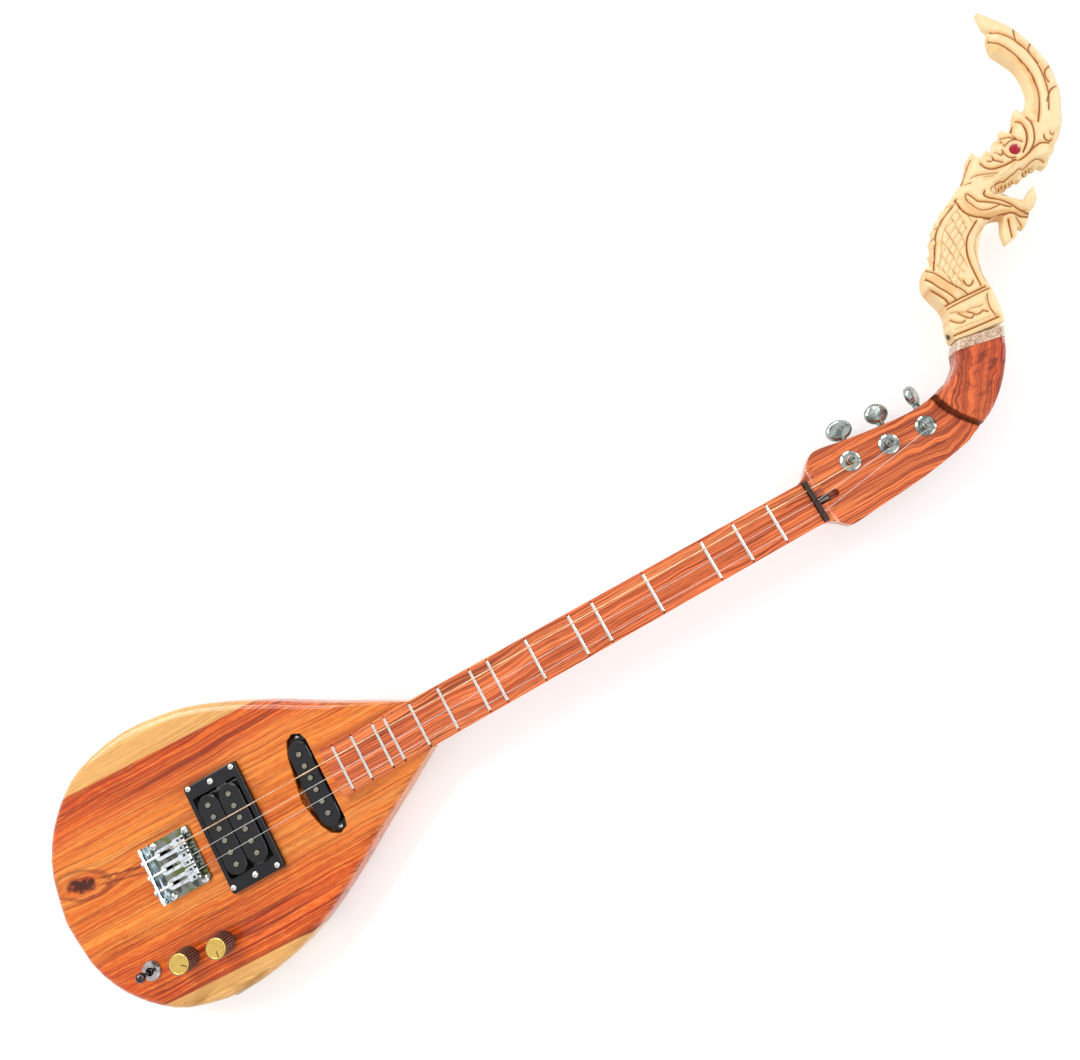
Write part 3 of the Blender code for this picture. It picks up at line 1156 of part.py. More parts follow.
def main():
    clear_scene()
    rosewood = make_material("oiled_rosewood", (0.62, 0.20, 0.06), 0.25)
    neck_wood = make_material("neck_wood", (0.55, 0.15, 0.06), 0.28)
    pale_wood = make_material("carved_pale_wood", (0.84, 0.68, 0.42), 0.5)
    stone = make_material("speckled_spacer", (0.30, 0.22, 0.18), 0.4)
    black = make_material("black_plastic", (0.02, 0.02, 0.022), 0.35)
    chrome = make_material("polished_chrome", (0.80, 0.80, 0.80), 0.12, 1.0)
    steel = make_material("nickel_steel", (0.62, 0.61, 0.58), 0.3, 1.0)
    bronze = make_material("bronze_wire", (0.72, 0.52, 0.30), 0.35, 1.0)
    brown = make_material("knob_brown", (0.07, 0.04, 0.035), 0.4)
    ruby = make_material("red_glass", (0.70, 0.01, 0.06), 0.08)
    make_body(rosewood)
    make_cover(black)
    make_neck(neck_wood)
    make_fretboard(neck_wood)
    make_frets(steel)
    make_nut(black)
    make_truss_rod(steel)
    make_collar(stone)
    make_naga(pale_wood, ruby)
    make_humbucker(black, steel, steel)
    make_single_coil(black, steel)
    make_bridge(chrome, chrome)
    make_strings(bronze, steel)
    for index in range(3):
        make_tuner(index, chrome)
    for index in range(2):
        make_knob(index, brown, steel)
    make_switch(chrome, brown)
    make_jack(chrome)


main()
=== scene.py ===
import json
from math import atan2, cos, pi, radians, sin

import bpy
import numpy as np
from bpy.props import FloatProperty, FloatVectorProperty, IntProperty, PointerProperty
from mathutils import Matrix, Vector

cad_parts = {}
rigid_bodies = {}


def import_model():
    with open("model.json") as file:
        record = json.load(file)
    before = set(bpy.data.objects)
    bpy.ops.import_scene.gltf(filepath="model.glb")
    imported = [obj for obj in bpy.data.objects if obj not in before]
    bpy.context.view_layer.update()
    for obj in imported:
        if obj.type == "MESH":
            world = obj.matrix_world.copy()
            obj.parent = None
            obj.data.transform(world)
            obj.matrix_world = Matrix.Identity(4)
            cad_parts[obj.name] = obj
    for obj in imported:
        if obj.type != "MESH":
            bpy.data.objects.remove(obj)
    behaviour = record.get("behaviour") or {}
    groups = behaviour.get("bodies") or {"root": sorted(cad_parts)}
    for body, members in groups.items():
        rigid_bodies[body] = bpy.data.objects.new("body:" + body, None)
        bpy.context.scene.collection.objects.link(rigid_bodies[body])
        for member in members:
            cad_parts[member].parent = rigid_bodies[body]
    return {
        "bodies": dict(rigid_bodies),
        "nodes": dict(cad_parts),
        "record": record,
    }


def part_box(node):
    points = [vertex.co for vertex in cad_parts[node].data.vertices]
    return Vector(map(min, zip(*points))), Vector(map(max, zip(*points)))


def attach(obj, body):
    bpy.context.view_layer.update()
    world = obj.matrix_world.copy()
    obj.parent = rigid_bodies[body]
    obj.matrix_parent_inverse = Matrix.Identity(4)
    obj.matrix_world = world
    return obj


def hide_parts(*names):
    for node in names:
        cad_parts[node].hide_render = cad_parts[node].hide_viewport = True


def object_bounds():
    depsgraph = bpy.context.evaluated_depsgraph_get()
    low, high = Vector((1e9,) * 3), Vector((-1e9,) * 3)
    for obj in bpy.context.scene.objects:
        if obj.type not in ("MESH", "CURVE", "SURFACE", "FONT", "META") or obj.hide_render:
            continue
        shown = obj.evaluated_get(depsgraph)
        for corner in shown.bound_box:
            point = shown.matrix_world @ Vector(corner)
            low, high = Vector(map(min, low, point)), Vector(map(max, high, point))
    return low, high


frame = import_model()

bl_info = {
    "name": "Electric phin",
    "version": (1, 0, 0),
    "blender": (4, 5, 0),
    "location": "3D View > Sidebar > Phin",
    "description": "Dresses a three-string electric phin with a carved naga head",
    "category": "Object",
}

MM = 0.001
CAD_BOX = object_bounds()

# Points nearer than this are one point, and faces within this angle in degrees lie in one plane.
ONE_PLACE = 0.002 * MM
FLAT_ANGLE = 0.4

# What a fading value falls to for each step of 1: one over e.
FADE_BASE = 0.3679

# Marks in the wood and painted shade, in metres. The knot has a middle and a size. Each seam of pale wood has
# a height at x = 0 and a slope. The step at the end of the headstock, with painted shade on its riser, is a
# curve over y.
KNOT = (-0.096, 0.021)
KNOT_SIZE = (0.026, 0.013)
UPPER_SEAM = (0.0860, -0.041)
LOWER_SEAM = (-0.0965, -0.0455)
STEP_CURVE = (0.69092, 0.7023, 10.957)

# Painted shade in the routs of the two pickups: middle, half size, softness of the edge, heights and
# strength.
ROUT_SHADES = (((0.0396, 0.0012), (0.0228, 0.0408), 0.0006, (0.0404, 0.0412), 1.0),
         ((0.1095, 0.0), (0.0120, 0.0440), 0.0008, (0.0385, 0.0405), 0.85))


def tint(code):
    """A six-figure colour code as linear red, green and blue."""
    parts = [int(code[i:i + 2], 16) / 255 for i in (0, 2, 4)]
    return tuple(p / 12.92 if p <= 0.04045 else ((p + 0.055) / 1.055) ** 2.4 for p in parts)


def paint(colour):
    """A colour as linear red, green and blue, from a six-figure code or from its own parts."""
    return tint(colour) if isinstance(colour, str) else tuple(colour)[:3]


def colour_setting(name, description, code):
    return FloatVectorProperty(name=name, description=description, subtype="COLOR", size=3,
                               min=0, max=1, default=tint(code))


def length_setting(name, description, value, low, high):
    return FloatProperty(name=name, description=description, unit="LENGTH",
                         default=value * MM, min=low * MM, max=high * MM)


class PhinColours(bpy.types.PropertyGroup):
    heartwood: colour_setting("Heartwood", "Orange wood of the body", "F78A34")
    heartwood_pale: colour_setting("Pale heartwood", "Lightest streaks of the body", "FFB264")
    heartwood_deep: colour_setting("Deep heartwood", "Darkest streaks of the body", "D8581A")
    grain_red: colour_setting("Grain lines", "Strong dark red lines in the wood", "641206")
    sapwood: colour_setting("Sapwood", "Pale wood at the edges of the body", "EAB57A")
    neck_wood: colour_setting("Neck wood", "Red-orange wood of the neck and headstock", "FF8A4B")
    board_wood: colour_setting("Fretboard wood", "Red-brown wood of the fretboard", "FA8A56")
    carving_wood: colour_setting("Carving wood", "Pale wood of the naga head", "F0D8A8")
    carving_cuts: colour_setting("Carving cuts", "Brown in the bottom of the cuts", "AE7034")
    plate: colour_setting("Bridge chrome", "Chrome of the bridge", "8B8E86")
    # The chrome's slight green is a painted reflection of green surroundings on the tuners.
    chrome: colour_setting("Chrome", "Chrome of the tuners, switch and jack", "AAB3AE")
    gold: colour_setting("Knob caps", "Gold of the caps on the knobs", "E2BE68")
    knob: colour_setting("Knob skirts", "Dark brown of the knobs", "33180F")
    black: colour_setting("Pickup plastic", "Black of the pickups", "121317")
    gem: colour_setting("Eye gems", "Red of the eyes", "C0002C")


class PhinSizes(bpy.types.PropertyGroup):
    cut_depth: length_setting("Depth of cuts", "Depth of the deepest line in the carving", 1.9, 0.2, 3)
    carving_step: length_setting("Carving fineness", "Spacing of the carving's mesh", 0.68, 0.5, 3)
    knob_ribs: IntProperty(name="Knob ribs", description="Ribs round each knob", default=26, min=12, max=60)
    cap_radius: length_setting("Cap radius", "Radius of the gold disc on a knob", 7.9, 4, 8.2)
    ring_screw: length_setting("Ring screw head", "Head diameter of the pickup ring's screws", 4.6, 2, 6)
    plate_screw: length_setting("Bridge screw head", "Head diameter of the bridge's screws", 6.2, 3, 8)


def colours():
    return bpy.context.scene.phin_colours


def sizes():
    return bpy.context.scene.phin_sizes


class Shade:
    """A socket in a node tree, so that shader maths reads as plain maths."""

    def __init__(self, web, socket):
        self.web = web
        self.socket = socket

    def maths(self, operation, *values):
        return self.web.node("ShaderNodeMath", {"operation": operation}, dict(enumerate(values)))

    def __add__(self, other):
        return self.maths("ADD", self, other)

    __radd__ = __add__

    def __sub__(self, other):
        return self.maths("SUBTRACT", self, other)

    def __rsub__(self, other):
        return self.maths("SUBTRACT", other, self)

    def __mul__(self, other):
        return self.maths("MULTIPLY", self, other)

    __rmul__ = __mul__

    def __truediv__(self, other):
        return self.maths("DIVIDE", self, other)

    def size(self):
        return self.maths("ABSOLUTE", self)

    def wave(self):
        return self.maths("SINE", self)

    def root(self):
        return self.maths("SQRT", self)

    def fade(self):
        """1 where the value is 0, falling to 0 as it grows."""
        return self.maths("POWER", FADE_BASE, self)

    def rise(self, start, end):
        """0 before start and 1 after end, smooth between."""
        return self.web.node("ShaderNodeMapRange", {"interpolation_type": "SMOOTHSTEP"},
                             {"Value": self, "From Min": start, "From Max": end})


class Web:
    """A node tree and the nodes laid down in it."""

    def __init__(self, tree):
        self.tree = tree

    def node(self, kind, settings, inputs, output=0):
        made = self.tree.nodes.new(kind)
        for key, value in settings.items():
            if key == "stops":
                self.set_stops(made.color_ramp, value)
            else:
                setattr(made, key, value)
        for key, value in inputs.items():
            if isinstance(value, Shade):
                self.tree.links.new(value.socket, made.inputs[key])
            else:
                made.inputs[key].default_value = value
        return Shade(self, made.outputs[output])

    def set_stops(self, ramp, stops):
        stops = [(position, (*paint(colour), 1)) for position, colour in stops]
        for element, (position, colour) in zip(ramp.elements, (stops[0], stops[-1])):
            element.position = position
            element.color = colour
        for position, colour in stops[1:-1]:
            ramp.elements.new(position).color = colour

    def axes(self, vector):
        split = self.node("ShaderNodeSeparateXYZ", {}, {0: vector}).socket.node
        return [Shade(self, output) for output in split.outputs]

    def join(self, x, y, z):
        return self.node("ShaderNodeCombineXYZ", {}, {0: x, 1: y, 2: z})

    def stretched(self, vector, scale, move=(0, 0, 0), turn=0):
        return self.node("ShaderNodeMapping", {},
                         {"Vector": vector, "Scale": scale, "Location": move, "Rotation": (0, 0, turn)})

    def noise(self, vector, scale=1, detail=2, roughness=0.5, distortion=0):
        return self.node("ShaderNodeTexNoise", {}, {"Vector": vector, "Scale": scale, "Detail": detail,
                                                    "Roughness": roughness, "Distortion": distortion})

    def grain(self, vector, scale, detail=2, roughness=0.5, move=(0, 0, 0)):
        """Noise drawn out or pressed along each axis."""
        return self.noise(self.stretched(vector, scale, move), 1, detail, roughness)

    def ramp(self, value, *stops):
        return self.node("ShaderNodeValToRGB", {"stops": stops}, {0: value})

    def mix(self, share, first, second, blend="MIX"):
        first, second = [v if isinstance(v, Shade) else (*paint(v), 1) for v in (first, second)]
        return self.node("ShaderNodeMix", {"data_type": "RGBA", "blend_type": blend},
                         {0: share, 6: first, 7: second}, 2)

    def bump(self, height, distance, strength=1):
        return self.node("ShaderNodeBump", {}, {"Height": height, "Distance": distance, "Strength": strength})

    def seen(self):
        """1 for rays from the camera, a mirror or glass, 0 for rays that only bring light."""
        rays = self.node("ShaderNodeLightPath", {}, {}).socket.node.outputs
        camera, mirror, glass = [Shade(self, rays[f"Is {kind} Ray"])
                                 for kind in ("Camera", "Glossy", "Transmission")]
        return (camera + mirror + glass).rise(0.0, 1.0)


class Finish(Web):
    """One material and the nodes laid down for it."""

    def __init__(self, name, **settings):
        self.material = bpy.data.materials.new(name)
        self.material.use_nodes = True
        super().__init__(self.material.node_tree)
        self.shader = self.tree.nodes["Principled BSDF"]
        self.place = self.node("ShaderNodeTexCoord", {}, {}, "Object")
        self.surface(settings)

    def surface(self, sockets):
        for key, value in sockets.items():
            name = key.replace("_", " ")
            if isinstance(value, Shade):
                self.tree.links.new(value.socket, self.shader.inputs[name])
            elif isinstance(value, tuple):
                self.shader.inputs[name].default_value = (*value, 1)
            else:
                self.shader.inputs[name].default_value = value

    def covered(self, colour, roughness, height, depth, strength):
        """Links the colour, the roughness and a fine relief, its depth in millimetres."""
        self.surface({"Base Color": colour, "Roughness": roughness,
                      "Normal": self.bump(height, depth * MM, strength)})
        return self


def scaled(colour, share):
    return tuple(share * part for part in paint(colour))


def thin_line(value, level, width):
    """1 on the places where a value passes a level, falling to 0 beside them."""
    return 1 - (value - level).size().rise(0.0, width)


def wood_grain(finish, flow, fineness=1.0):
    """Streaks, fine lines, strong lines, fibres and pores, all long ways with x."""
    streaks = finish.grain(flow, (1.8, 62 * fineness, 30), 4, 0.66)
    lines = finish.grain(flow, (5, 520 * fineness, 200), 3, 0.62, (3, 5, 1))
    broad = finish.grain(flow, (1.3, 60 * fineness, 25), 2.5, 0.55, (8, 2, 5))
    narrow = finish.grain(flow, (2.4, 150 * fineness, 60), 2, 0.55, (1, 7, 9))
    strong = thin_line(broad, 0.5, 0.026) + thin_line(broad, 0.6, 0.018) + thin_line(broad, 0.41, 0.018)
    weak = thin_line(narrow, 0.5, 0.085) + thin_line(narrow, 0.62, 0.07)
    hair = finish.grain(flow, (4, 330 * fineness, 130), 2, 0.6, (4, 4, 2))
    weak = weak * 0.8 + thin_line(hair, 0.5, 0.1) * 0.45
    fibres = finish.grain(flow, (45, 1500, 900), move=(7, 1, 4))
    pores = finish.grain(flow, (80, 2100, 2100), 1, move=(2, 9, 6)).rise(0.57, 0.70)
    return streaks, lines, strong, weak, fibres, pores


def body_wood():
    """Orange wood with red bands, pale wood at both edges and a knot at the tail."""
    hue = colours()
    finish = Finish("body_rosewood", Coat_Weight=0.5, Coat_Roughness=0.035, Coat_IOR=1.5,
                    Specular_IOR_Level=0.1)
    x, y, z = finish.axes(finish.place)
    wander = finish.noise(finish.place, 6, 2)
    ripple = finish.noise(finish.place, 42, 2)
    from_knot = x - KNOT[0]
    knot_x = from_knot / KNOT_SIZE[0]
    knot_y = (y - KNOT[1] + from_knot * 0.25) / KNOT_SIZE[1]
    knot_far = knot_x * knot_x + knot_y * knot_y + (ripple - 0.5) * 1.1
    round_knot = knot_far.fade()
    bend = (y - KNOT[1]) * round_knot * 0.85
    flow = finish.join(x, y + (wander - 0.5) * 0.012 + (ripple - 0.5) * 0.0018 - bend, z)
    streaks, lines, strong, weak, fibres, pores = wood_grain(finish, flow)
    off_middle = (y + (wander - 0.5) * 0.05 + (streaks - 0.5) * 0.03 - 0.002).size()
    red_zone = off_middle.rise(0.030, 0.070)
    shade = streaks * 0.55 + lines * 0.45 - red_zone * 0.05
    colour = finish.ramp(shade, (0.32, hue.heartwood_deep), (0.46, hue.heartwood),
                         (0.64, hue.heartwood_pale))
    colour = finish.mix(red_zone * (0.2 + streaks * 0.6), colour, "EC571E")
    speck = finish.grain(flow, (150, 430, 300), 3, 0.7, (5, 5, 5))
    colour = finish.mix(speck.rise(0.5, 0.7) * 0.35, colour, hue.heartwood_pale)
    colour = finish.mix((1 - speck.rise(0.3, 0.48)) * 0.3, colour, "C4440F")
    colour = finish.mix(weak * (0.42 + red_zone * 0.22), colour, "A22C09")
    colour = finish.mix(strong * (0.36 + red_zone * 0.35), colour, hue.grain_red)
    uneven = (lines - 0.5) * 0.003 + (streaks - 0.5) * 0.005
    above = y - (x * UPPER_SEAM[1] + UPPER_SEAM[0] + uneven)
    below = x * LOWER_SEAM[1] + LOWER_SEAM[0] + uneven - y
    seam_dark = above.rise(-0.006, -0.001) * lines * 0.45 + below.rise(-0.005, -0.001) * (0.2 + lines * 0.7)
    colour = finish.mix(seam_dark, colour, hue.grain_red)
    pale = hue.sapwood
    sap = finish.ramp(streaks * 0.45 + lines * 0.55, (0.3, scaled(pale, 0.7)), (0.48, pale),
                      (0.68, tuple(min(1, 1.25 * part + 0.03) for part in pale)))
    mottle = finish.grain(flow, (26, 90, 40), 3, 0.65, (1, 6, 3)).rise(0.46, 0.66)
    sap = finish.mix(mottle * below.rise(0.0, 0.01) * 0.75, sap, "A37A38")
    sap = finish.mix(weak * 0.3, sap, "A8692E")
    colour = finish.mix(above.rise(-0.0007, 0.0007), colour, sap)
    colour = finish.mix(below.rise(-0.0007, 0.0007), colour, sap)
    colour = finish.mix(1.0, colour, (1.0, 0.95, 0.72), "MULTIPLY")
    crack = finish.noise(finish.place, 130, 3, 0.6)
    flame = (knot_y * 15 + lines * 5 + wander * 8).wave().rise(0.1, 0.95)
    flame = flame * (1 - (knot_y * 1.4).size().rise(0.2, 1.1))
    flame = flame * knot_x.rise(0.2, 0.9) * (1 - knot_x.rise(1.4, 3.4))
    colour = finish.mix(flame * 0.75, colour, hue.grain_red)
    knot_rings = (((knot_far + 0.6).root() * 15 + lines * 3 + crack * 2.2).wave() * 0.5 + 0.5) * round_knot
    colour = finish.mix(knot_rings.rise(0.12, 0.6) * 0.65, colour, hue.grain_red)
    colour = finish.mix(round_knot * 0.35, colour, "A8330E")
    heart = 1 - (knot_far + crack - 0.5).rise(-0.05, 0.12)
    colour = finish.mix(heart * 0.9, colour, "2E0A04")
    colour = finish.mix(pores * 0.34, colour, scaled(hue.grain_red, 0.8))
    # Painted shade: the pickups' routs darkened on the front, where shade falls under the ring and the coil.
    in_front = z.rise(0.0020, 0.0030)
    for middle, half, soft, heights, strength in ROUT_SHADES:
        inside = 1 - (x - middle[0]).size().rise(half[0], half[0] + soft)
        inside = inside * (1 - (y - middle[1]).size().rise(half[1], half[1] + soft))
        inside = inside * (1 - z.rise(*heights)) * strength
        colour = finish.mix(inside * in_front, colour, "0E0C0B")
    return finish.covered(colour, lines * 0.12 + 0.3, fibres * 0.5 - pores, 0.08, 0.35)


def figured_wood(name, base, board=False):
    """Red-orange wood with lines along the neck, wilder towards the curved end."""
    hue = colours()
    finish = Finish(name, Coat_Weight=0.15 if board else 0.6, Coat_Roughness=0.05, Coat_IOR=1.5,
                    Specular_IOR_Level=0.15)
    x, y, z = finish.axes(finish.place)
    wander = finish.noise(finish.place, 12, 3)
    curl = finish.noise(finish.place, 30, 3)
    wild = x.rise(0.58, 0.70)
    past = x.rise(0.66, 0.75)
    turn = (x - 0.66) * past * 0.9
    flow = finish.join(x, y + (wander - 0.5) * 0.012 + (curl - 0.5) * (wild * 0.018 + past * 0.03) - turn, z)
    streaks, lines, strong, weak, fibres, pores = wood_grain(finish, flow, 1.7 if board else 1.6)
    colour = finish.ramp(streaks * 0.55 + lines * 0.45, (0.30, scaled(base, 0.6)), (0.46, base),
                         (0.66, tuple(min(1, 1.5 * part + 0.02) for part in base)))
    colour = finish.mix(past * (0.3 + streaks * 0.6), colour, "E04A1C")
    colour = finish.mix(weak * (0.58 + wild * 0.2), colour, "8A260B")
    colour = finish.mix(strong * (0.62 + past * 0.35), colour, hue.grain_red)
    slanted = finish.stretched(finish.place, (60, 160, 40), (2, 2, 2), 0.9)
    burl = finish.noise(slanted, 1, 4, 0.65, 1.0).rise(0.52, 0.62)
    colour = finish.mix(burl * past * 0.75, colour, scaled(hue.grain_red, 0.8))
    colour = finish.mix(1.0, colour, (1.0, 0.88, 0.78), "MULTIPLY")
    if not board:
        # Painted shade on the riser of the step at the end of the headstock.
        off_step = (x - STEP_CURVE[0] + y * STEP_CURVE[1] - y * y * STEP_CURVE[2]).size()
        step_shade = (1 - off_step.rise(0.0003, 0.0021)) * z.rise(0.0400, 0.0408)
        colour = finish.mix(step_shade * 0.85, colour, "2A0B05")
    colour = finish.mix(pores * (0.5 if board else 0.36), colour, scaled(hue.grain_red, 0.7))
    return finish.covered(colour, lines * 0.14 + (0.36 if board else 0.28),
                          fibres * 0.6 - pores, 0.1, 0.6 if board else 0.35)


def speckled_wood():
    """Palm wood cut across its bundles: grey-brown with fine dark and pale flecks."""
    finish = Finish("collar_palm", Coat_Weight=0.5, Coat_Roughness=0.1)
    pressed = finish.stretched(finish.place, (700, 1500, 900))
    flecks = finish.node("ShaderNodeTexVoronoi", {}, {"Vector": pressed, "Scale": 1.0})
    cloud = finish.noise(finish.place, 300, 3, 0.7)
    colour = finish.ramp(flecks * 0.6 + cloud * 0.5, (0.25, "5E4331"), (0.45, "A98468"),
                         (0.7, "E2C3A6"))
    return finish.covered(colour, cloud * 0.2 + 0.3, flecks, 0.1, 0.4)


def carved_wood():
    """Pale wood, warmer near the collar, with brown stain and painted shade in the cuts, warm painted shade
    beside them and warm colour along the crest, held in the mesh's own layers.
    """
    hue = colours()
    finish = Finish("naga_wood", Coat_Weight=0.1, Coat_Roughness=0.25, Specular_IOR_Level=0.3)
    cut, warm = [finish.node("ShaderNodeAttribute", {"attribute_name": layer}, {}, "Fac")
                 for layer in ("cut", "warm")]
    pale = hue.carving_wood
    grain = finish.grain(finish.place, (420, 60, 160), 3, 0.6)
    cloud = finish.noise(finish.place, 45, 3, 0.6)
    low_end = 1 - finish.axes(finish.place)[1].rise(0.05, 0.15)
    colour = finish.mix(low_end * 0.12, pale, "F0CB8C")
    colour = finish.mix((grain - 0.42) * 0.6, colour, "E3B06C")
    # Painted shade: a warm tint beside the cuts, joined with the warm lines along the crest and the wing.
    colour = finish.mix(warm * (0.2 + cloud * 0.9), colour, "E6A253")
    # The cuts' brown is stain with painted shade; the deepest cuts get still more painted shade.
    colour = finish.mix(cut.rise(0.14, 0.68), colour, hue.carving_cuts)
    colour = finish.mix(cut.rise(0.6, 1.0) * 0.5, colour, "5E3817")
    return finish.covered(colour, grain * 0.2 + 0.42, grain + cloud, 0.15, 0.4)


def metal(name, colour, roughness=0.14, worn=0.1, lines=(900, 900, 900), rub=0.02, smudge_and_reflection_share=0.35, dark=0.62):
    """Plated or bare metal with fine polishing marks and darker soft patches: smudges, and a painted
    reflection of dark surroundings where they are strong.
    """
    finish = Finish(name, Metallic=1.0)
    smudge = finish.noise(finish.place, 160, 3, 0.6)
    marks = finish.grain(finish.place, lines, 2, 0.6)
    # Darker patches: smudges, and painted reflections where the share is strong.
    shade = finish.mix(smudge.rise(0.42, 0.62) * smudge_and_reflection_share, colour, scaled(colour, dark))
    return finish.covered(shade, smudge * worn + marks * worn * 0.5 + roughness - worn * 0.5,
                          marks, rub, 0.35)


def plastic(name, colour, roughness=0.32, grain=0.03, coat=0.0):
    """Moulded plastic with a fine skin, a little dust and paler rubbed spots."""
    finish = Finish(name, Coat_Weight=coat, Coat_Roughness=0.1, Specular_IOR_Level=0.3)
    skin = finish.noise(finish.place, 2600, 2)
    dust = finish.noise(finish.place, 240, 3, 0.65)
    paler = tuple(1.5 * part + 0.002 for part in paint(colour))
    shade = finish.mix(dust.rise(0.5, 0.75) * 0.4, colour, paler)
    return finish.covered(shade, dust * 0.16 + roughness - 0.08, skin, grain, 0.5)


def plate_chrome():
    """The bridge's chrome, grey-green with painted dark and green reflections on the flat plate and painted
    bright reflections on its raised lip.
    """
    finish = Finish("bridge_chrome", Metallic=1.0)
    x = finish.axes(finish.place)[0]
    hue = colours().plate
    cloud = finish.grain(finish.place, (110, 70, 70), 2)
    smudge = finish.noise(finish.place, 260, 3, 0.6)
    # Painted reflections: dark and green clouds on the flat plate.
    flat = finish.ramp(cloud, (0.36, scaled(hue, 0.3)), (0.5, hue), (0.62, "6B7448"))
    reflection_bands = finish.grain(finish.place, (500, 150, 300), 2, 0.6)
    # Painted reflections: pale and bright bands on the raised lip.
    lip = finish.ramp(reflection_bands, (0.42, "76848C"), (0.5, "C8D8E0"), (0.6, "F6FAFC"))
    shade = finish.mix(1 - x.rise(-0.0312, -0.0302), flat, lip)
    return finish.covered(shade, smudge * 0.12 + 0.1, smudge, 0.02, 0.3)


def saddle_chrome():
    """Saddle chrome with a painted highlight on the tops of the saddles, painted shade down their sides, and
    darker soft patches.
    """
    finish = Finish("saddle_chrome", Metallic=1.0)
    z = finish.axes(finish.place)[2]
    smudge = finish.noise(finish.place, 220, 3, 0.6)
    # Painted light: pale near the tops of the saddles, dark lower down their sides.
    shade = finish.mix((z + smudge * 0.001).rise(0.0498, 0.0514), "5C6468", "E6EDF2")
    shade = finish.mix(smudge.rise(0.5, 0.62) * 0.55, shade, "6E7880")
    return finish.covered(shade, smudge * 0.1 + 0.05, smudge, 0.02, 0.3)


def ribbed_plastic(name, centre):
    """Dark brown plastic, with a painted highlight on the crests of its ribs that varies with the dust noise.
    """
    finish = Finish(name, Coat_Weight=0.4, Coat_Roughness=0.12)
    hue = colours().knob
    x, y = finish.axes(finish.stretched(finish.place, (1, 1, 1), (-centre[0], -centre[1], 0)))[:2]
    around = finish.node("ShaderNodeMath", {"operation": "ARCTAN2"}, {0: y, 1: x})
    # Painted highlight on the crest of each rib.
    crest = (around * sizes().knob_ribs + 1.2).wave().rise(0.1, 0.8)
    dust = finish.noise(finish.place, 420, 3, 0.65)
    shade = finish.mix(crest * (0.5 + dust * 0.5), hue, "BDA095")
    return finish.covered(shade, dust * 0.2 + 0.22, dust, 0.04, 0.4)


def spun_gold(name, centre):
    """Gold disc with turning marks in circles about its centre."""
    finish = Finish(name, Metallic=1.0)
    hue = colours().gold
    x, y, z = finish.axes(finish.stretched(finish.place, (1, 1, 1), (-centre[0], -centre[1], 0)))
    far = (x * x + y * y).root()
    turned = finish.noise(finish.join(far * 3800, z * 300, 0), 1, 2)
    broad = finish.noise(finish.join(far * 900, 2, 1), 1, 1)
    smudge = finish.noise(finish.place, 330, 2)
    shade = finish.mix(smudge.rise(0.4, 0.7) * 0.3 + broad * 0.35, hue, scaled(hue, 0.62))
    return finish.covered(shade, turned * 0.12 + 0.26, turned, 0.05, 0.9)


def wound_wire():
    """Bronze winding, with its turns along the string."""
    finish = Finish("bronze_winding", Metallic=1.0)
    x, y = finish.axes(finish.place)[:2]
    turns = (x * 24000 + y * 5000).wave()
    tarnish = finish.grain(finish.place, (60, 400, 400))
    shade = finish.ramp(tarnish, (0.3, "C59A6C"), (0.65, "F6DDBB"))
    return finish.covered(shade, tarnish * 0.15 + 0.22, turns, 0.03, 0.6)


def red_glass():
    """Red glass with a soft cloud in it."""
    finish = Finish("red_glass", Transmission_Weight=0.1, IOR=1.5, Coat_Weight=0.35, Coat_Roughness=0.02,
                    Specular_IOR_Level=0.2)
    cloud = finish.noise(finish.place, 500, 2)
    hue = colours().gem
    finish.surface({"Base Color": finish.mix(cloud.rise(0.35, 0.65) * 0.5, hue, scaled(hue, 0.45)),
                    "Roughness": cloud * 0.05 + 0.02})
    return finish


made_finishes = {}


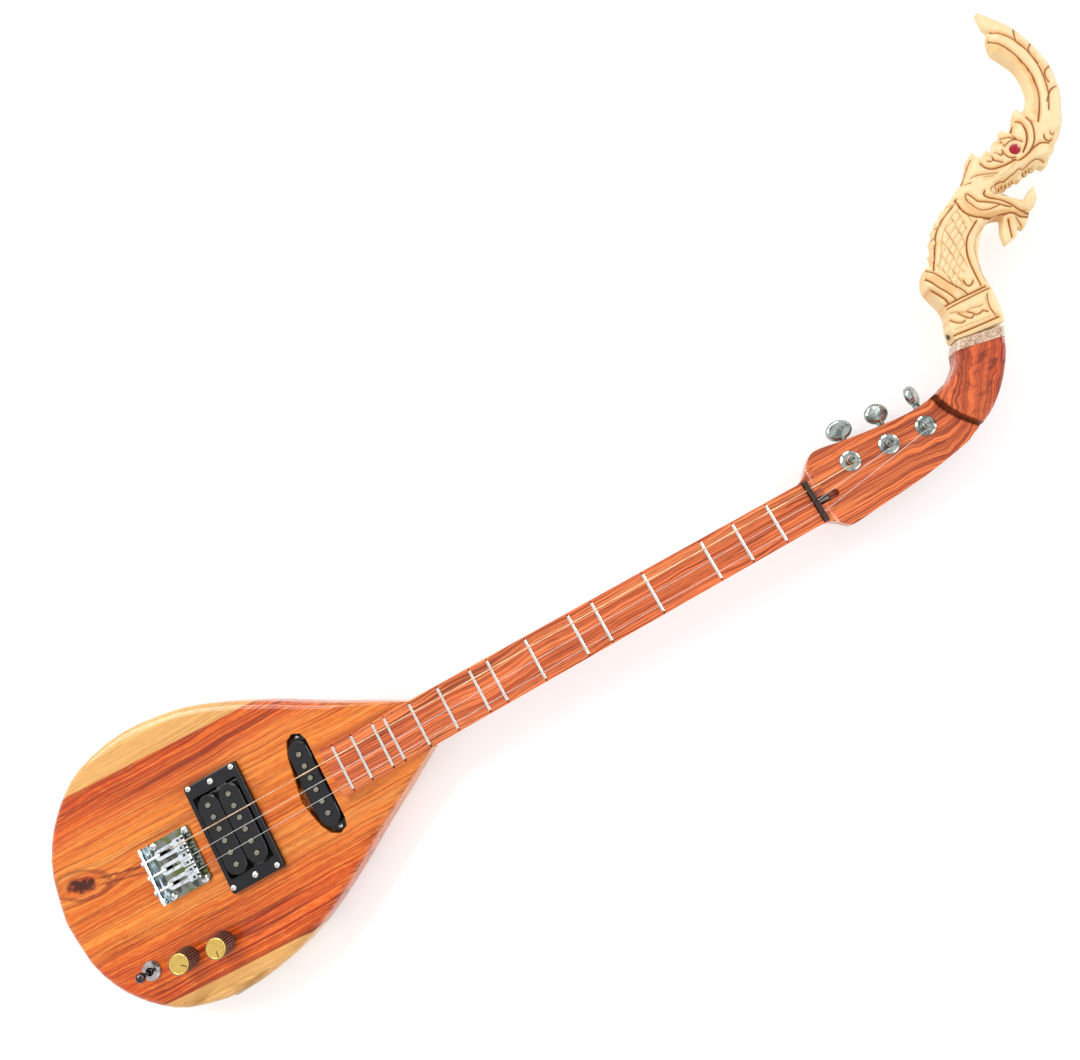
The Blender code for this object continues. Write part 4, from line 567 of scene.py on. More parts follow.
def finish_for(slot):
    """The finish of one of the record's material slots, made when it is first asked for."""
    if slot not in made_finishes:
        hue = colours()
        makers = {
            "body": body_wood,
            "neck": lambda: figured_wood("neck_rosewood", hue.neck_wood),
            "fretboard": lambda: figured_wood("board_rosewood", hue.board_wood, True),
            "carving": carved_wood,
            "collar": speckled_wood,
            "frets": lambda: metal("fret_nickel", "E4E2DC", 0.2, 0.12, (300, 3000, 3000), 0.03),
            "nut": lambda: plastic("dark_nut", "38201A", 0.24, 0.03, 0.4),
            "truss": lambda: metal("plain_steel", "8A8A8C", 0.35, 0.15),
            "gem": red_glass,
            "pickup_ring": lambda: plastic("satin_black", hue.black, 0.38, 0.05),
            "bobbin": lambda: plastic("moulded_black", scaled(hue.black, 0.85), 0.26, 0.03, 0.2),
            "poles": lambda: metal("nickel_poles", "958F80", 0.22, 0.14),
            "baseplate": lambda: metal("nickel_silver", "9F9B90", 0.35, 0.2, (400, 2600, 2600), 0.05),
            "bridge": plate_chrome,
            "screws": lambda: metal("bright_steel", "D8D8D6", 0.2, 0.1),
            "wound_string": wound_wire,
            "plain_string": lambda: metal("steel_wire", "DEDEDC", 0.18, 0.08, (80, 3000, 3000), 0.01),
            # The tuners' strong dark patches are painted reflections of dark surroundings.
            "tuners": lambda: metal("tuner_chrome", hue.chrome, 0.1, 0.08, smudge_and_reflection_share=0.85, dark=0.3),
            "knobs": lambda: plastic("dark_brown", hue.knob, 0.3, 0.03, 0.3),
            "pots": lambda: metal("plated_steel", "9C9C98", 0.32, 0.15),
            # The switch's strong dark patches are painted reflections of dark surroundings.
            "switch": lambda: metal("switch_chrome", "B9B3B2", 0.12, 0.1, smudge_and_reflection_share=0.8, dark=0.4),
            "lever": lambda: metal("dark_lever", "4B4245", 0.12, 0.08),
            # The jack's dark grey is painted shade, so that it sits in the shadow at the body's lower rim.
            "jack": lambda: metal("jack_nickel", "6A6A6A", 0.2, 0.12),
            "cover": lambda: plastic("cover_black", "1B1B1D", 0.45, 0.08),
        }
        made_finishes[slot] = makers[slot]()
    return made_finishes[slot]


def deselect():
    bpy.ops.object.select_all(action="DESELECT")


def pick(piece):
    deselect()
    piece.hide_set(False)
    piece.select_set(True)
    bpy.context.view_layer.objects.active = piece


def edit(piece, mode="VERT"):
    """Opens a piece in edit mode with nothing selected."""
    pick(piece)
    bpy.ops.object.mode_set(mode="EDIT")
    bpy.ops.mesh.select_mode(type=mode)
    bpy.ops.mesh.select_all(action="DESELECT")


def close_edit():
    bpy.ops.object.mode_set(mode="OBJECT")


def choose(piece, kind, test):
    """Selects the faces, edges or vertices for which the test is true, from object mode."""
    close_edit()
    for element in getattr(piece.data, kind):
        element.select = bool(test(element))
    bpy.ops.object.mode_set(mode="EDIT")


def take_all():
    bpy.ops.mesh.select_all(action="SELECT")


def face_outward():
    take_all()
    bpy.ops.mesh.normals_make_consistent(inside=False)


def settle(piece):
    """Moves a piece's place into its mesh."""
    pick(piece)
    bpy.ops.object.transform_apply(location=True, rotation=True, scale=True)


def apply(piece, kind, **settings):
    """Puts a modifier on a piece and applies it."""
    modifier = piece.modifiers.new("step", kind)
    for key, value in settings.items():
        setattr(modifier, key, value)
    pick(piece)
    bpy.ops.object.modifier_apply(modifier=modifier.name)


def smooth(piece, angle=32, weighted=True):
    """Shades a piece smoothly, apart from edges sharper than the angle."""
    pick(piece)
    bpy.ops.object.shade_smooth_by_angle(angle=radians(angle))
    if weighted:
        apply(piece, "WEIGHTED_NORMAL", keep_sharp=True, weight=80)


def placed(name, data):
    """A new object in the scene that holds the given data."""
    thing = bpy.data.objects.new(name, data)
    bpy.context.collection.objects.link(thing)
    return thing


def finished(piece, name, slot, body="instrument", material=None):
    """Names a piece, gives it its finish, and sets it on a body of the frame."""
    piece.name = name
    piece.data.name = name
    piece.data.materials.clear()
    piece.data.materials.append((material or finish_for(slot)).material)
    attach(piece, body)
    return piece


def slot_of(node):
    return [part["material_slot"] for part in frame["record"]["subparts"] if part["node"] == node][0]


def nodes_in(*slots):
    return [part["node"] for part in frame["record"]["subparts"] if part["material_slot"] in slots]


def body_under(node):
    parent = frame["nodes"][node].parent
    return [name for name, empty in frame["bodies"].items() if empty == parent][0]


def copy_of(node, name):
    """A merged copy of a CAD node's mesh, to be worked on."""
    piece = placed(name, frame["nodes"][node].data.copy())
    edit(piece)
    take_all()
    bpy.ops.mesh.remove_doubles(threshold=ONE_PLACE)
    bpy.ops.mesh.dissolve_limited(angle_limit=radians(FLAT_ANGLE))
    close_edit()
    return piece


def dress(node, angle=32):
    """Stands a smoothly shaded copy in for a CAD node."""
    piece = copy_of(node, node + "_dressed")
    smooth(piece, angle)
    finished(piece, node + "_dressed", slot_of(node), body_under(node))
    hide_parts(node)
    return piece


def copied(pattern, name, matrix, slot, body="instrument", material=None):
    """A copy of a pattern piece, with its own mesh moved to its place."""
    mesh = pattern.data.copy()
    mesh.transform(matrix)
    return finished(placed(name, mesh), name, slot, body, material)


def standing(point, across=(1, 0, 0), up=(0, 0, 1), size=1.0):
    """The matrix that sets a pattern's z along up and scales it, at a point in millimetres."""
    up = Vector(up).normalized()
    side = Vector(across)
    side = (side - up * side.dot(up)).normalized()
    turn = Matrix((side, up.cross(side), up)).transposed().to_4x4()
    return Matrix.Translation(Vector(point) * MM) @ turn @ Matrix.Scale(size, 4)


def discard(*pieces):
    for piece in pieces:
        bpy.data.objects.remove(piece, do_unlink=True)


def cut_out(piece, cutter):
    """Takes the cutter's shape out of a piece."""
    apply(piece, "BOOLEAN", operation="DIFFERENCE", solver="EXACT", object=cutter)
    discard(cutter)


def turned(name, profile, steps=48, unit=MM):
    """A closed shape turned about the z axis, from (radius, height) points."""
    mesh = bpy.data.meshes.new(name)
    mesh.from_pydata([(r * unit, 0, z * unit) for r, z in profile],
                     [(i, i + 1) for i in range(len(profile) - 1)], [])
    piece = placed(name, mesh)
    edit(piece, "EDGE")
    take_all()
    bpy.ops.mesh.spin(steps=steps, angle=2 * pi, center=(0, 0, 0), axis=(0, 0, 1))
    take_all()
    bpy.ops.mesh.remove_doubles(threshold=0.005 * MM)
    bpy.ops.mesh.dissolve_degenerate(threshold=0.001 * MM)
    face_outward()
    close_edit()
    return piece


def slab(name, outline, bottom, top, edge=0.0):
    """A flat shape given by its outline, standing between two heights, all in millimetres."""
    mesh = bpy.data.meshes.new(name)
    mesh.from_pydata([(x * MM, y * MM, bottom * MM) for x, y in outline], [], [tuple(range(len(outline)))])
    piece = placed(name, mesh)
    edit(piece, "FACE")
    take_all()
    bpy.ops.mesh.extrude_region_move(TRANSFORM_OT_translate={"value": (0, 0, (top - bottom) * MM)})
    face_outward()
    if edge:
        close_edit()
        edit(piece, "EDGE")
        choose(piece, "vertices", lambda vertex: vertex.co.z > (top - 0.01) * MM)
        bpy.ops.mesh.bevel(offset=edge * MM, segments=2, affect="EDGES")
    close_edit()
    return piece


def arc(x, y, radius, start, end, steps=12):
    """Points of a circle's arc between two angles in degrees."""
    turns = np.linspace(radians(start), radians(end), steps)
    return [(x + radius * cos(turn), y + radius * sin(turn)) for turn in turns]


def cross_head():
    """A round screw head of unit diameter with a cross recess, standing on z = 0."""
    profile = [(0, 0), (0.5, 0), (0.5, 0.07), (0.46, 0.15), (0.38, 0.22), (0.26, 0.28), (0.13, 0.305),
               (0, 0.31)]
    head = turned("cross_head", profile, 36, 1)
    for turn in (0, pi / 2):
        bpy.ops.mesh.primitive_cube_add(size=1, location=(0, 0, 0.3), rotation=(0, 0, turn),
                                        scale=(0.5, 0.13, 0.36))
        arm = bpy.context.object
        settle(arm)
        edit(arm, "FACE")
        choose(arm, "polygons", lambda face: face.normal.z < -0.9)
        bpy.ops.transform.resize(value=(0.45, 0.6, 1))
        close_edit()
        cut_out(head, arm)
    smooth(head, 35)
    return head


def socket_head():
    """A headless screw's end of unit diameter with a six-sided socket, standing on z = 0."""
    grub = turned("grub", [(0, 0), (0.5, 0), (0.5, 0.9), (0.42, 1.0), (0, 1.0)], 24, 1)
    bpy.ops.mesh.primitive_cylinder_add(vertices=6, radius=0.25, depth=1.0, location=(0, 0, 1.1))
    socket = bpy.context.object
    settle(socket)
    cut_out(grub, socket)
    smooth(grub, 30)
    return grub


def drive(head, name, spots, height, size):
    """Sets copies of a screw head at (x, y, turn) spots on a height, in millimetres and radians."""
    for index, (x, y, turn) in enumerate(spots):
        place = standing((x, y, height), (cos(turn), sin(turn), 0), size=size)
        copied(head, f"{name}_{index + 1}", place, "screws")


# The photo's camera: its place, its own three axes and its lens.
CAMERA_PLACE = (0.39575, -0.03193, 0.83385)
CAMERA_RIGHT = (0.86864, -0.48394, -0.10615)
CAMERA_UP = (0.49400, 0.86236, 0.11090)
CAMERA_BACK = (0.03787, -0.14877, 0.98815)
SENSOR_WIDTH = 36
FOCAL_LENGTH = 33.63

# Soft lamps: name, place, target, width, height, watts and whether only shine shows them.
LAMPS = (("key", (-0.5, 1.5, 1.75), (0.35, 0.0, 0.0), 1.3, 0.9, 24, False),
         ("fill", (1.6, -1.2, 1.4), (0.4, 0.0, 0.0), 1.2, 1.2, 7, False),
         ("rim_strip", (0.1, 1.65, 0.9), (0.2, 0.1, 0.04), 3.0, 0.6, 60, True),
         ("end_strip", (2.3, 0.05, 0.5), (0.57, 0.0, 0.04), 1.5, 0.5, 20, True))

# Levels of the light from all around, of the floor's two tints and of its glow for the camera.
AROUND_LEVEL = 0.87
FLOOR_TINTS = (0.80, 0.76)
FLOOR_GLOW = 0.30
FLOOR_GAP = 0.6 * MM


def grey(level):
    return (level, level, level)


class PHIN_OT_stage(bpy.types.Operator):
    """Lays the pale floor, hangs the soft lamps and sets the camera"""
    bl_idname = "phin.stage"
    bl_label = "Stage"

    def execute(self, context):
        self.floor(context)
        self.surroundings(context)
        for lamp in LAMPS:
            self.lamp(*lamp)
        self.camera(context)
        return {"FINISHED"}

    def floor(self, context):
        low = CAD_BOX[0]
        bpy.ops.mesh.primitive_plane_add(size=8, location=(0.4, 0.1, low[2] - FLOOR_GAP))
        floor = context.object
        settle(floor)
        floor.name = "floor"
        pale = Finish("floor_white", Roughness=0.9)
        dapple = pale.noise(pale.place, 3, 2)
        pale.surface({"Base Color": pale.mix(dapple * 0.1, *map(grey, FLOOR_TINTS)), "Emission Strength": 1.0,
                      "Emission Color": pale.mix(pale.seen(), grey(0), grey(FLOOR_GLOW))})
        floor.data.materials.append(pale.material)

    def surroundings(self, context):
        """White for the camera and in mirrors, a little less as light"""
        world = bpy.data.worlds.new("studio")
        context.scene.world = world
        world.use_nodes = True
        sky = Web(world.node_tree)
        background = sky.tree.nodes["Background"]
        level = sky.mix(sky.seen(), grey(AROUND_LEVEL), grey(1))
        sky.tree.links.new(level.socket, background.inputs["Color"])
        background.inputs["Strength"].default_value = 1.0

    def lamp(self, name, place, target, width, height, power, shine_only):
        lamp = bpy.data.lights.new(name, "AREA")
        lamp.shape = "RECTANGLE"
        lamp.size = width
        lamp.size_y = height
        lamp.energy = power
        holder = placed(name, lamp)
        holder.location = place
        holder.rotation_euler = (Vector(target) - Vector(place)).to_track_quat("-Z", "Y").to_euler()
        holder.visible_diffuse = not shine_only

    def camera(self, context):
        lens = bpy.data.cameras.new("camera")
        lens.sensor_fit = "HORIZONTAL"
        lens.sensor_width = SENSOR_WIDTH
        lens.lens = FOCAL_LENGTH
        lens.clip_start = 0.01
        camera = placed("camera", lens)
        turn = Matrix((CAMERA_RIGHT, CAMERA_UP, CAMERA_BACK)).transposed().to_4x4()
        camera.matrix_world = Matrix.Translation(CAMERA_PLACE) @ turn
        context.scene.camera = camera
        context.scene.view_settings.view_transform = "Standard"


class PHIN_OT_wood(bpy.types.Operator):
    """Finishes the body, neck, fretboard and collar"""
    bl_idname = "phin.wood"
    bl_label = "Body, neck and fretboard"

    def execute(self, context):
        for node in nodes_in("body", "neck", "fretboard", "collar"):
            dress(node, 26 if slot_of(node) == "neck" else 38)
        return {"FINISHED"}


# The cuts and ridges of the naga head, under their depth as a share of the deepest cut and their half
# width, with points along and across the instrument. Lengths are in millimetres.
CUTS = {
    (1.0, 1.1): [
        [(776.5, 151), (775, 149.5), (774, 145), (774.5, 140), (777, 134.5), (782.5, 129), (789, 125.5),
         (794, 124), (800, 122.5), (806.5, 118.5), (812, 113.5), (816.5, 112)],
        [(868, 259), (868.5, 250)],
        [(866, 249), (864.5, 240), (866.5, 230), (868.5, 220.5), (869.5, 211), (868, 202), (864, 194.5),
         (859.5, 189)],
    ],
    (1.0, 1.0): [
        [(720.5, 111), (724, 105), (727, 96.5), (731, 88.5), (733, 81.5)],
        [(719, 101), (722.5, 95.5), (726, 87.5), (727, 81.5)],
        [(797, 145), (795, 142.5), (797, 138.5), (802.5, 133.5), (806, 129), (808.5, 124.5), (811, 119),
         (815.5, 115), (819, 113.5)],
        [(802, 117), (799.5, 109), (798, 104)],
        [(803.5, 173), (800.5, 171), (787.5, 159.5)],
        [(838, 156.5), (843, 160.5), (846.5, 164.5), (849, 170), (850, 176.5), (849.5, 182.5)],
        [(806, 165.5), (807, 161.5), (810.5, 157.5), (816.5, 155.5), (823.5, 154.5), (830.5, 154.5)],
    ],
    (1.0, 0.9): [
        [(716, 58.5), (734, 56), (753, 54)],
        [(719, 81.5), (727.5, 81.5), (757, 79.5)],
        [(779, 127.5), (767, 120.5), (761, 112.5), (758, 105), (756, 94.5), (754.5, 81.5)],
        [(858.5, 160), (857.5, 157), (859, 154), (861.5, 154)],
    ],
    (0.9, 1.0): [
        [(726, 114.5), (731, 106), (735.5, 96), (740.5, 87), (742.5, 80.5)],
        [(869, 250), (874, 242), (877.5, 232), (879.5, 221), (880, 211), (878.5, 201), (874.5, 190.5),
         (867.5, 180), (861, 172)],
    ],
    (0.9, 0.9): [
        [(731, 110), (739.5, 121), (749, 134.5), (758.5, 142), (770.5, 147)],
        [(745.5, 92), (745.5, 88), (747, 86), (750, 86.5), (751.5, 88)],
        [(784.5, 150), (786.5, 145.5), (788, 141), (791, 138.5), (795, 135.5), (799.5, 131.5), (803, 127.5),
         (807, 123.5)],
        [(828, 156), (831.5, 152.5), (838, 153), (846.5, 155.5), (853, 156), (858.5, 152.5)],
        [(826, 166.5), (825.5, 163), (827, 158.5), (831, 156)],
        [(841, 153.5), (848.5, 158.5), (853, 165), (856, 173), (855.5, 180)],
        [(849, 186), (845.5, 180), (840.5, 175), (839, 172), (839.5, 168)],
        [(831, 177), (833, 176.5), (836, 172.5), (839, 168)],
        [(822.5, 168.5), (822, 165), (823.5, 163), (826, 165.5)],
        [(817.5, 168.5), (816, 163.5), (818, 160.5), (821, 157.5)],
        [(890, 249), (886, 242), (885, 236), (887, 231)],
        [(894.5, 232), (889, 228), (888, 221), (889, 214)],
        [(896, 208), (890, 206), (887.5, 201), (887, 196)],
        [(890.5, 190.5), (885, 190), (880.5, 187), (875.5, 182.5)],
    ],
    (0.9, 0.8): [
        [(740.5, 132.5), (746.5, 133.5)],
        [(736.5, 125.5), (741.5, 126.5)],
        [(731.5, 117), (736, 118.5)],
        [(751, 140), (755.5, 139)],
        [(768, 149.5), (773, 148)],
    ],
    (0.8, 1.0): [
        [(721, 70.5), (723.5, 66.5), (726.5, 64), (730, 64)],
        [(728.5, 71.5), (731.5, 66.5), (735, 63.5), (738, 64.5)],
        [(734.5, 69.5), (737.5, 66.5), (739.5, 64), (742.5, 63.5), (745.5, 64), (748, 61.5)],
        [(873.5, 257), (881, 247.5), (885, 238), (887.5, 227), (888, 214.5), (886.5, 203), (881.5, 189),
         (873, 176)],
    ],
    (0.8, 0.9): [
        [(783, 150), (781.5, 146), (782.5, 141.5), (784, 137), (786, 133.5), (790.5, 131), (795, 130),
         (800.5, 129.5)],
        [(797.5, 118), (793, 114), (789, 110)],
        [(788, 157.5), (792, 156)],
        [(829, 168), (834, 169.5), (839, 168), (842, 164)],
    ],
    (0.8, 0.8): [
        [(719.5, 79), (759, 77)],
        [(755, 74), (752, 67.5), (751, 61.5), (751.5, 55.5)],
        [(806.5, 145.5), (811, 145.5), (814.5, 144.5), (820, 145.5), (824.5, 146), (828, 147), (832, 145.5),
         (837, 146.5), (842.5, 147), (847, 145.5), (850, 143)],
        [(863.5, 160), (863.5, 157), (866, 158)],
        [(832, 174.5), (829, 169)],
        [(811.5, 164.5), (813, 163), (816, 163)],
    ],
    (0.7, 0.8): [
        [(807, 116), (808.5, 111), (809, 107)],
        [(794, 159.5), (800.5, 158), (812.5, 152)],
    ],
    (0.6, 0.8): [
        [(724, 75), (728, 73), (733, 70), (739, 70), (744, 68.5), (748, 68)],
    ],
    (0.6, 0.7): [
        [(775.5, 133.5), (776, 127.5)],
        [(807, 136), (810.5, 132), (814.5, 124.5), (816.5, 120.5)],
        [(802, 155), (809.5, 151.5)],
    ],
    (0.5, 0.7): [
        [(720.5, 61.5), (753, 56.5)],
        [(752, 72), (750, 67), (750, 61)],
        [(734.5, 108), (742.5, 118), (752, 131.5), (762.5, 139), (773.5, 143)],
        [(786, 122), (774, 118), (767, 110), (763, 98), (760, 84)],
    ],
    (0.45, 0.8): [
        [(802, 152), (808.5, 150), (814, 148.5), (819, 149), (825, 150.5), (828.5, 152)],
    ],
}
RIDGES = {
    (0.8, 2.2): [
        [(868, 245), (870.5, 236), (873.5, 227.5), (875, 219), (875.5, 210), (874.5, 201.5), (869.5, 191.5),
         (863, 182), (858, 175)],
    ],
    (0.7, 2.4): [
        [(779, 150), (778, 144), (780, 137), (785, 131.5), (791, 128), (798, 126.5), (804, 122)],
    ],
    (0.7, 2.0): [
        [(806, 148.5), (812, 149), (819, 150), (826, 152.5), (832, 150.5), (838, 150), (846, 152.5)],
        [(871.5, 254), (878, 245), (881.5, 236), (883.5, 226), (884.5, 214), (883, 202), (878.5, 189),
         (871, 178), (865, 170)],
    ],
    (0.7, 1.8): [
        [(842, 156.5), (847, 161), (850.5, 167), (852.5, 174), (852, 181)],
    ],
    (0.6, 2.2): [
        [(722, 113), (728.5, 105.5), (733, 94.5), (738, 85), (739.5, 80.5)],
    ],
    (0.6, 1.8): [
        [(800, 141), (804, 136), (809, 130), (812, 124), (816, 119), (820, 118)],
    ],
    (0.5, 2.4): [
        [(783, 126), (770, 122.5), (763.5, 114), (761, 105), (758, 94), (756.5, 81.5)],
    ],
    (0.5, 2.0): [
        [(719, 104), (723, 98), (727, 92), (730, 83.5)],
    ],
    (0.5, 1.8): [
        [(800, 164), (804, 159.5), (809, 155), (816, 153), (823, 152)],
    ],
}

# The long lines of scales on the neck of the naga, from its crest side to its throat.
SCALE_LINES = [
    [(736, 112.5), (737.5, 98.5), (737.5, 89), (739.5, 80.5)],
    [(742.5, 119), (742.5, 106.5), (743.5, 94.5), (744, 85)],
    [(748, 127.5), (749, 117.5), (748.5, 102), (749.5, 97)],
    [(755, 134.5), (755, 120.5), (754.5, 109.5), (754, 100)],
    [(764, 139), (763.5, 131.5), (763, 121.5), (761, 114)],
    [(770.5, 142), (770.5, 135), (769, 124.5)],
]

# Depth and half width of those lines, and the spacing and slant of the cuts that cross between them.
SCALE_DEPTH = 0.6
SCALE_WIDTH = 0.62
SCALE_STEP = 5.2
SCALE_RISE = 4.2

# The gaps between the teeth of the upper jaw, each from its gum to its edge.
TOOTH_GAPS = [((809.5, 142), (808.5, 138)), ((812, 142.5), (811.5, 138)), ((815, 142), (814.5, 137.5)),
              ((818.5, 142), (818, 137.5)), ((821.5, 142.5), (821, 138)), ((832, 144), (831, 139)),
              ((834.5, 144), (834, 139.5)), ((837, 144), (836.5, 139.5)), ((839.5, 143.5), (839, 139.5))]

# The open mouth as it is cut out between the teeth, and the gum laid along the lower jaw.
MOUTH = [(808, 139), (812, 138.6), (816, 139), (820, 138.6), (823.5, 140.5), (826, 138.8), (829, 140),
         (833, 141), (837, 141), (840.5, 140.5), (841.5, 138.2), (845.5, 137.5), (849, 139.5), (852, 138),
         (846.5, 132), (838, 132), (828.5, 133.5), (820, 133), (812.5, 135), (806.5, 137.2)]
LOWER_GUM = [(802, 139.5), (806.5, 137.3), (808.5, 134.8), (810.5, 131.8), (813, 127.3), (815, 122.8),
             (816.8, 120.5), (820, 118), (817, 115), (812, 117), (808, 123), (804, 130), (800, 136)]

# Rings cut round the eye and the corner of the mouth: (x, y, radius, depth share, half width).
CARVED_RINGS = [(833.8, 161.8, 4.6, 0.3, 0.7), (803.8, 141.8, 3.0, 0.7, 0.7)]

# Soft warm colour along the crest and the wing: half width and points.
WARM_LINES = [
    (3.0, [(868, 246), (872, 236), (877, 222), (877.5, 208), (873, 193), (862, 178)]),
    (2.6, [(876, 254), (885, 238), (888.5, 222), (888, 208), (881, 190)]),
    (3.0, [(724, 112), (730, 100), (735, 88)]),
    (2.5, [(779, 148), (780, 137), (788, 128), (802, 123), (814, 115)]),
    (2.5, [(812, 156), (824, 154), (838, 152), (852, 157)]),
    (3.0, [(862, 250), (862, 236), (866, 220), (864, 200), (858, 188)]),
]

# The small dark pin at the foot of the carving, as (radius, height) in millimetres.
PIN_PROFILE = [(0, -3.0), (1.4, -3.0), (1.4, 0.2), (2.8, 0.3), (2.8, 0.7), (1.7, 1.0), (1.5, 1.5), (1.9, 2.1),
               (3.0, 2.6), (3.1, 3.0), (2.7, 3.3), (1.2, 3.4), (0, 3.4)]
PIN_PLACE = (717.8, 60.5, 40)
PIN_UP = (-0.98, 0.18, 0)

# The fewest points that can be carved, and in millimetres how far a line reaches and the distance given
# to spots outside its reach.
FEWEST_POINTS = 2000
REACH = 4
FAR_AWAY = 1e9


def eased(points, steps=4):
    """More points along a smooth line through the given ones."""
    if len(points) < 3:
        return np.array(points, float)
    path = np.array([points[0], *points, points[-1]], float)
    out = []
    for p, q, r, s in zip(path, path[1:], path[2:], path[3:]):
        for t in np.arange(steps) / steps:
            out.append(0.5 * (2 * q + (r - p) * t + (2 * p - 5 * q + 4 * r - s) * t * t
                              + (3 * q - p - 3 * r + s) * t ** 3))
    return np.array([*out, points[-1]])


def distance_to(spots, line):
    """How far each spot is from a line of points, all in millimetres."""
    best = np.full(len(spots), FAR_AWAY)
    near = ((spots > line.min(0) - REACH) & (spots < line.max(0) + REACH)).all(1)
    close = spots[near]
    found = best[near]
    for start, end in zip(line, line[1:]):
        along = end - start
        share = ((close - start) @ along / max(along @ along, 1e-9)).clip(0, 1)
        gap = close - start - share[:, None] * along
        found = np.minimum(found, np.sqrt((gap * gap).sum(1)))
    best[near] = found
    return best


def lines_of(cuts):
    """Every line of a table with its depth and half width."""
    return [(depth, width, eased(points)) for (depth, width), lines in cuts.items() for points in lines]


def diamond_lines(long_lines):
    """The crossing cuts between the long lines of scales on the neck of the naga."""
    for first, second in zip(long_lines, long_lines[1:]):
        low = max(first[0, 1], second[0, 1] - SCALE_RISE)
        high = min(first[-1, 1], second[-1, 1] - SCALE_RISE)
        for level in np.arange(81.0, 140.0, SCALE_STEP):
            if low <= level <= high:
                over = level + SCALE_RISE
                yield np.array([(np.interp(level, first[:, 1], first[:, 0]), level),
                                (np.interp(over, second[:, 1], second[:, 0]), over)])


def relief_at(spots):
    """How far each spot is raised, how deep it is cut, how near it is to a cut, and how dark its cut's stain
    and painted shade are, from 0 to 1.
    """
    raised, cut, beside, dark = np.zeros((4, len(spots)))
    for depth, width, line in lines_of(RIDGES):
        raised = np.maximum(raised, depth * np.exp(-(distance_to(spots, line) / width) ** 2))
    scales = [eased(points)[::-1] for points in SCALE_LINES]
    cuts = lines_of(CUTS) + [(SCALE_DEPTH, SCALE_WIDTH, line) for line in scales]
    cuts += [(0.5, 0.6, line) for line in diamond_lines(scales)]
    cuts += [(1.0, 0.75, np.array(gap)) for gap in TOOTH_GAPS]
    cuts += [(depth, width, np.array(arc(x, y, radius, 0, 360, 25)))
             for x, y, radius, depth, width in CARVED_RINGS]
    for depth, width, line in cuts:
        away = distance_to(spots, line)
        far = away / width
        cut = np.maximum(cut, depth * np.exp(-far ** 2 * 1.4))
        beside = np.maximum(beside, depth * np.exp(-(away / 2.2) ** 2))
        dark = np.maximum(dark, min(1.0, 1.5 * depth - 0.3) * np.exp(-(far * 1.7) ** 2))
    return raised, cut, beside, dark


class PHIN_OT_carving(bpy.types.Operator):
    """Carves the naga head from its CAD solid, on both faces, and sets the eye gems"""
    bl_idname = "phin.carving"
    bl_label = "Naga head"

    def execute(self, context):
        piece = copy_of("naga_head", "naga_carving")
        cut_out(piece, slab("open_mouth", MOUTH, 20, 60))
        gum = slab("lower_gum", LOWER_GUM, 29.5, 50.5)
        pick(piece)
        gum.select_set(True)
        bpy.ops.object.join()
        step = sizes().carving_step
        apply(piece, "REMESH", mode="VOXEL", voxel_size=step)
        edit(piece)
        take_all()
        bpy.ops.mesh.vertices_smooth(factor=0.5, repeat=1)
        close_edit()
        self.carve(piece.data)
        smooth(piece, 60, False)
        finished(piece, "naga_carving", "carving")
        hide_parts("naga_head")
        for node in nodes_in("gem"):
            dress(node, 20)
        pin = turned("pin_pattern", PIN_PROFILE, 40)
        smooth(pin, 35)
        copied(pin, "strap_pin", standing(PIN_PLACE, (0, 0, 1), PIN_UP, 0.75), "screws",
               material=metal("dark_pin", "55504C", 0.25, 0.15))
        discard(pin)
        return {"FINISHED"}

    def carve(self, mesh):
        """Sinks the cuts and lifts the ridges, and keeps in layers of the mesh the cuts' stain and painted
        shade, and the warm painted shade beside the cuts with the warm lines
        """
        count = len(mesh.vertices)
        if count < FEWEST_POINTS:
            raise RuntimeError("the naga head's mesh came out too coarse to carve")
        places = np.empty(count * 3)
        normals = np.empty(count * 3)
        mesh.vertices.foreach_get("co", places)
        mesh.vertices.foreach_get("normal", normals)
        places = places.reshape(-1, 3)
        facing = normals.reshape(-1, 3)[:, 2]
        spots = places[:, :2] / MM
        raised, cut, beside, dark = relief_at(spots)
        flat = np.clip((np.abs(facing) - 0.15) / 0.5, 0, 1)
        # Painted shade: a soft warm tint beside every cut.
        warm = 0.75 * beside
        for width, points in WARM_LINES:
            warm = np.maximum(warm, np.exp(-(distance_to(spots, eased(points)) / width) ** 2))
        lift = (0.9 * raised - cut - 0.35 * beside) * sizes().cut_depth * flat
        places[:, 2] += np.sign(facing) * lift
        mesh.vertices.foreach_set("co", places.reshape(-1))
        for name, values in (("cut", dark * (0.35 + 0.65 * flat)), ("warm", warm)):
            layer = mesh.attributes.new(name, "FLOAT", "POINT")
            layer.data.foreach_set("value", np.clip(values, 0, 1))
        mesh.update()


class PHIN_OT_frets_strings(bpy.types.Operator):
    """Polishes the frets, nut, truss nut and strings"""
    bl_idname = "phin.frets_strings"
    bl_label = "Frets and strings"

    def execute(self, context):
        for node in nodes_in("frets", "nut", "truss"):
            dress(node, 35)
        for node in nodes_in("wound_string", "plain_string"):
            for material_slot in frame["nodes"][node].material_slots:
                material_slot.material = finish_for(slot_of(node)).material
        return {"FINISHED"}


# Screw heads on the face: x and y in millimetres and the turn of the cross in radians.
RING_SCREWS = ((59, 44, 0.4), (20, 45, 1.1), (19, -40, 0.2), (58, -41, 0.8))
HEIGHT_SCREWS = ((39.6, 41.7, 0.6), (39.6, -39.3, 1.3))
COIL_SCREWS = ((113, 40, 0.5), (113, -39, 1.2))
PLATE_SCREWS = ((1.6, 18.4, 0.3), (0.3, -23.4, 1.0), (-27.2, 18.8, 0.7), (-29, -23.3, 0.1))


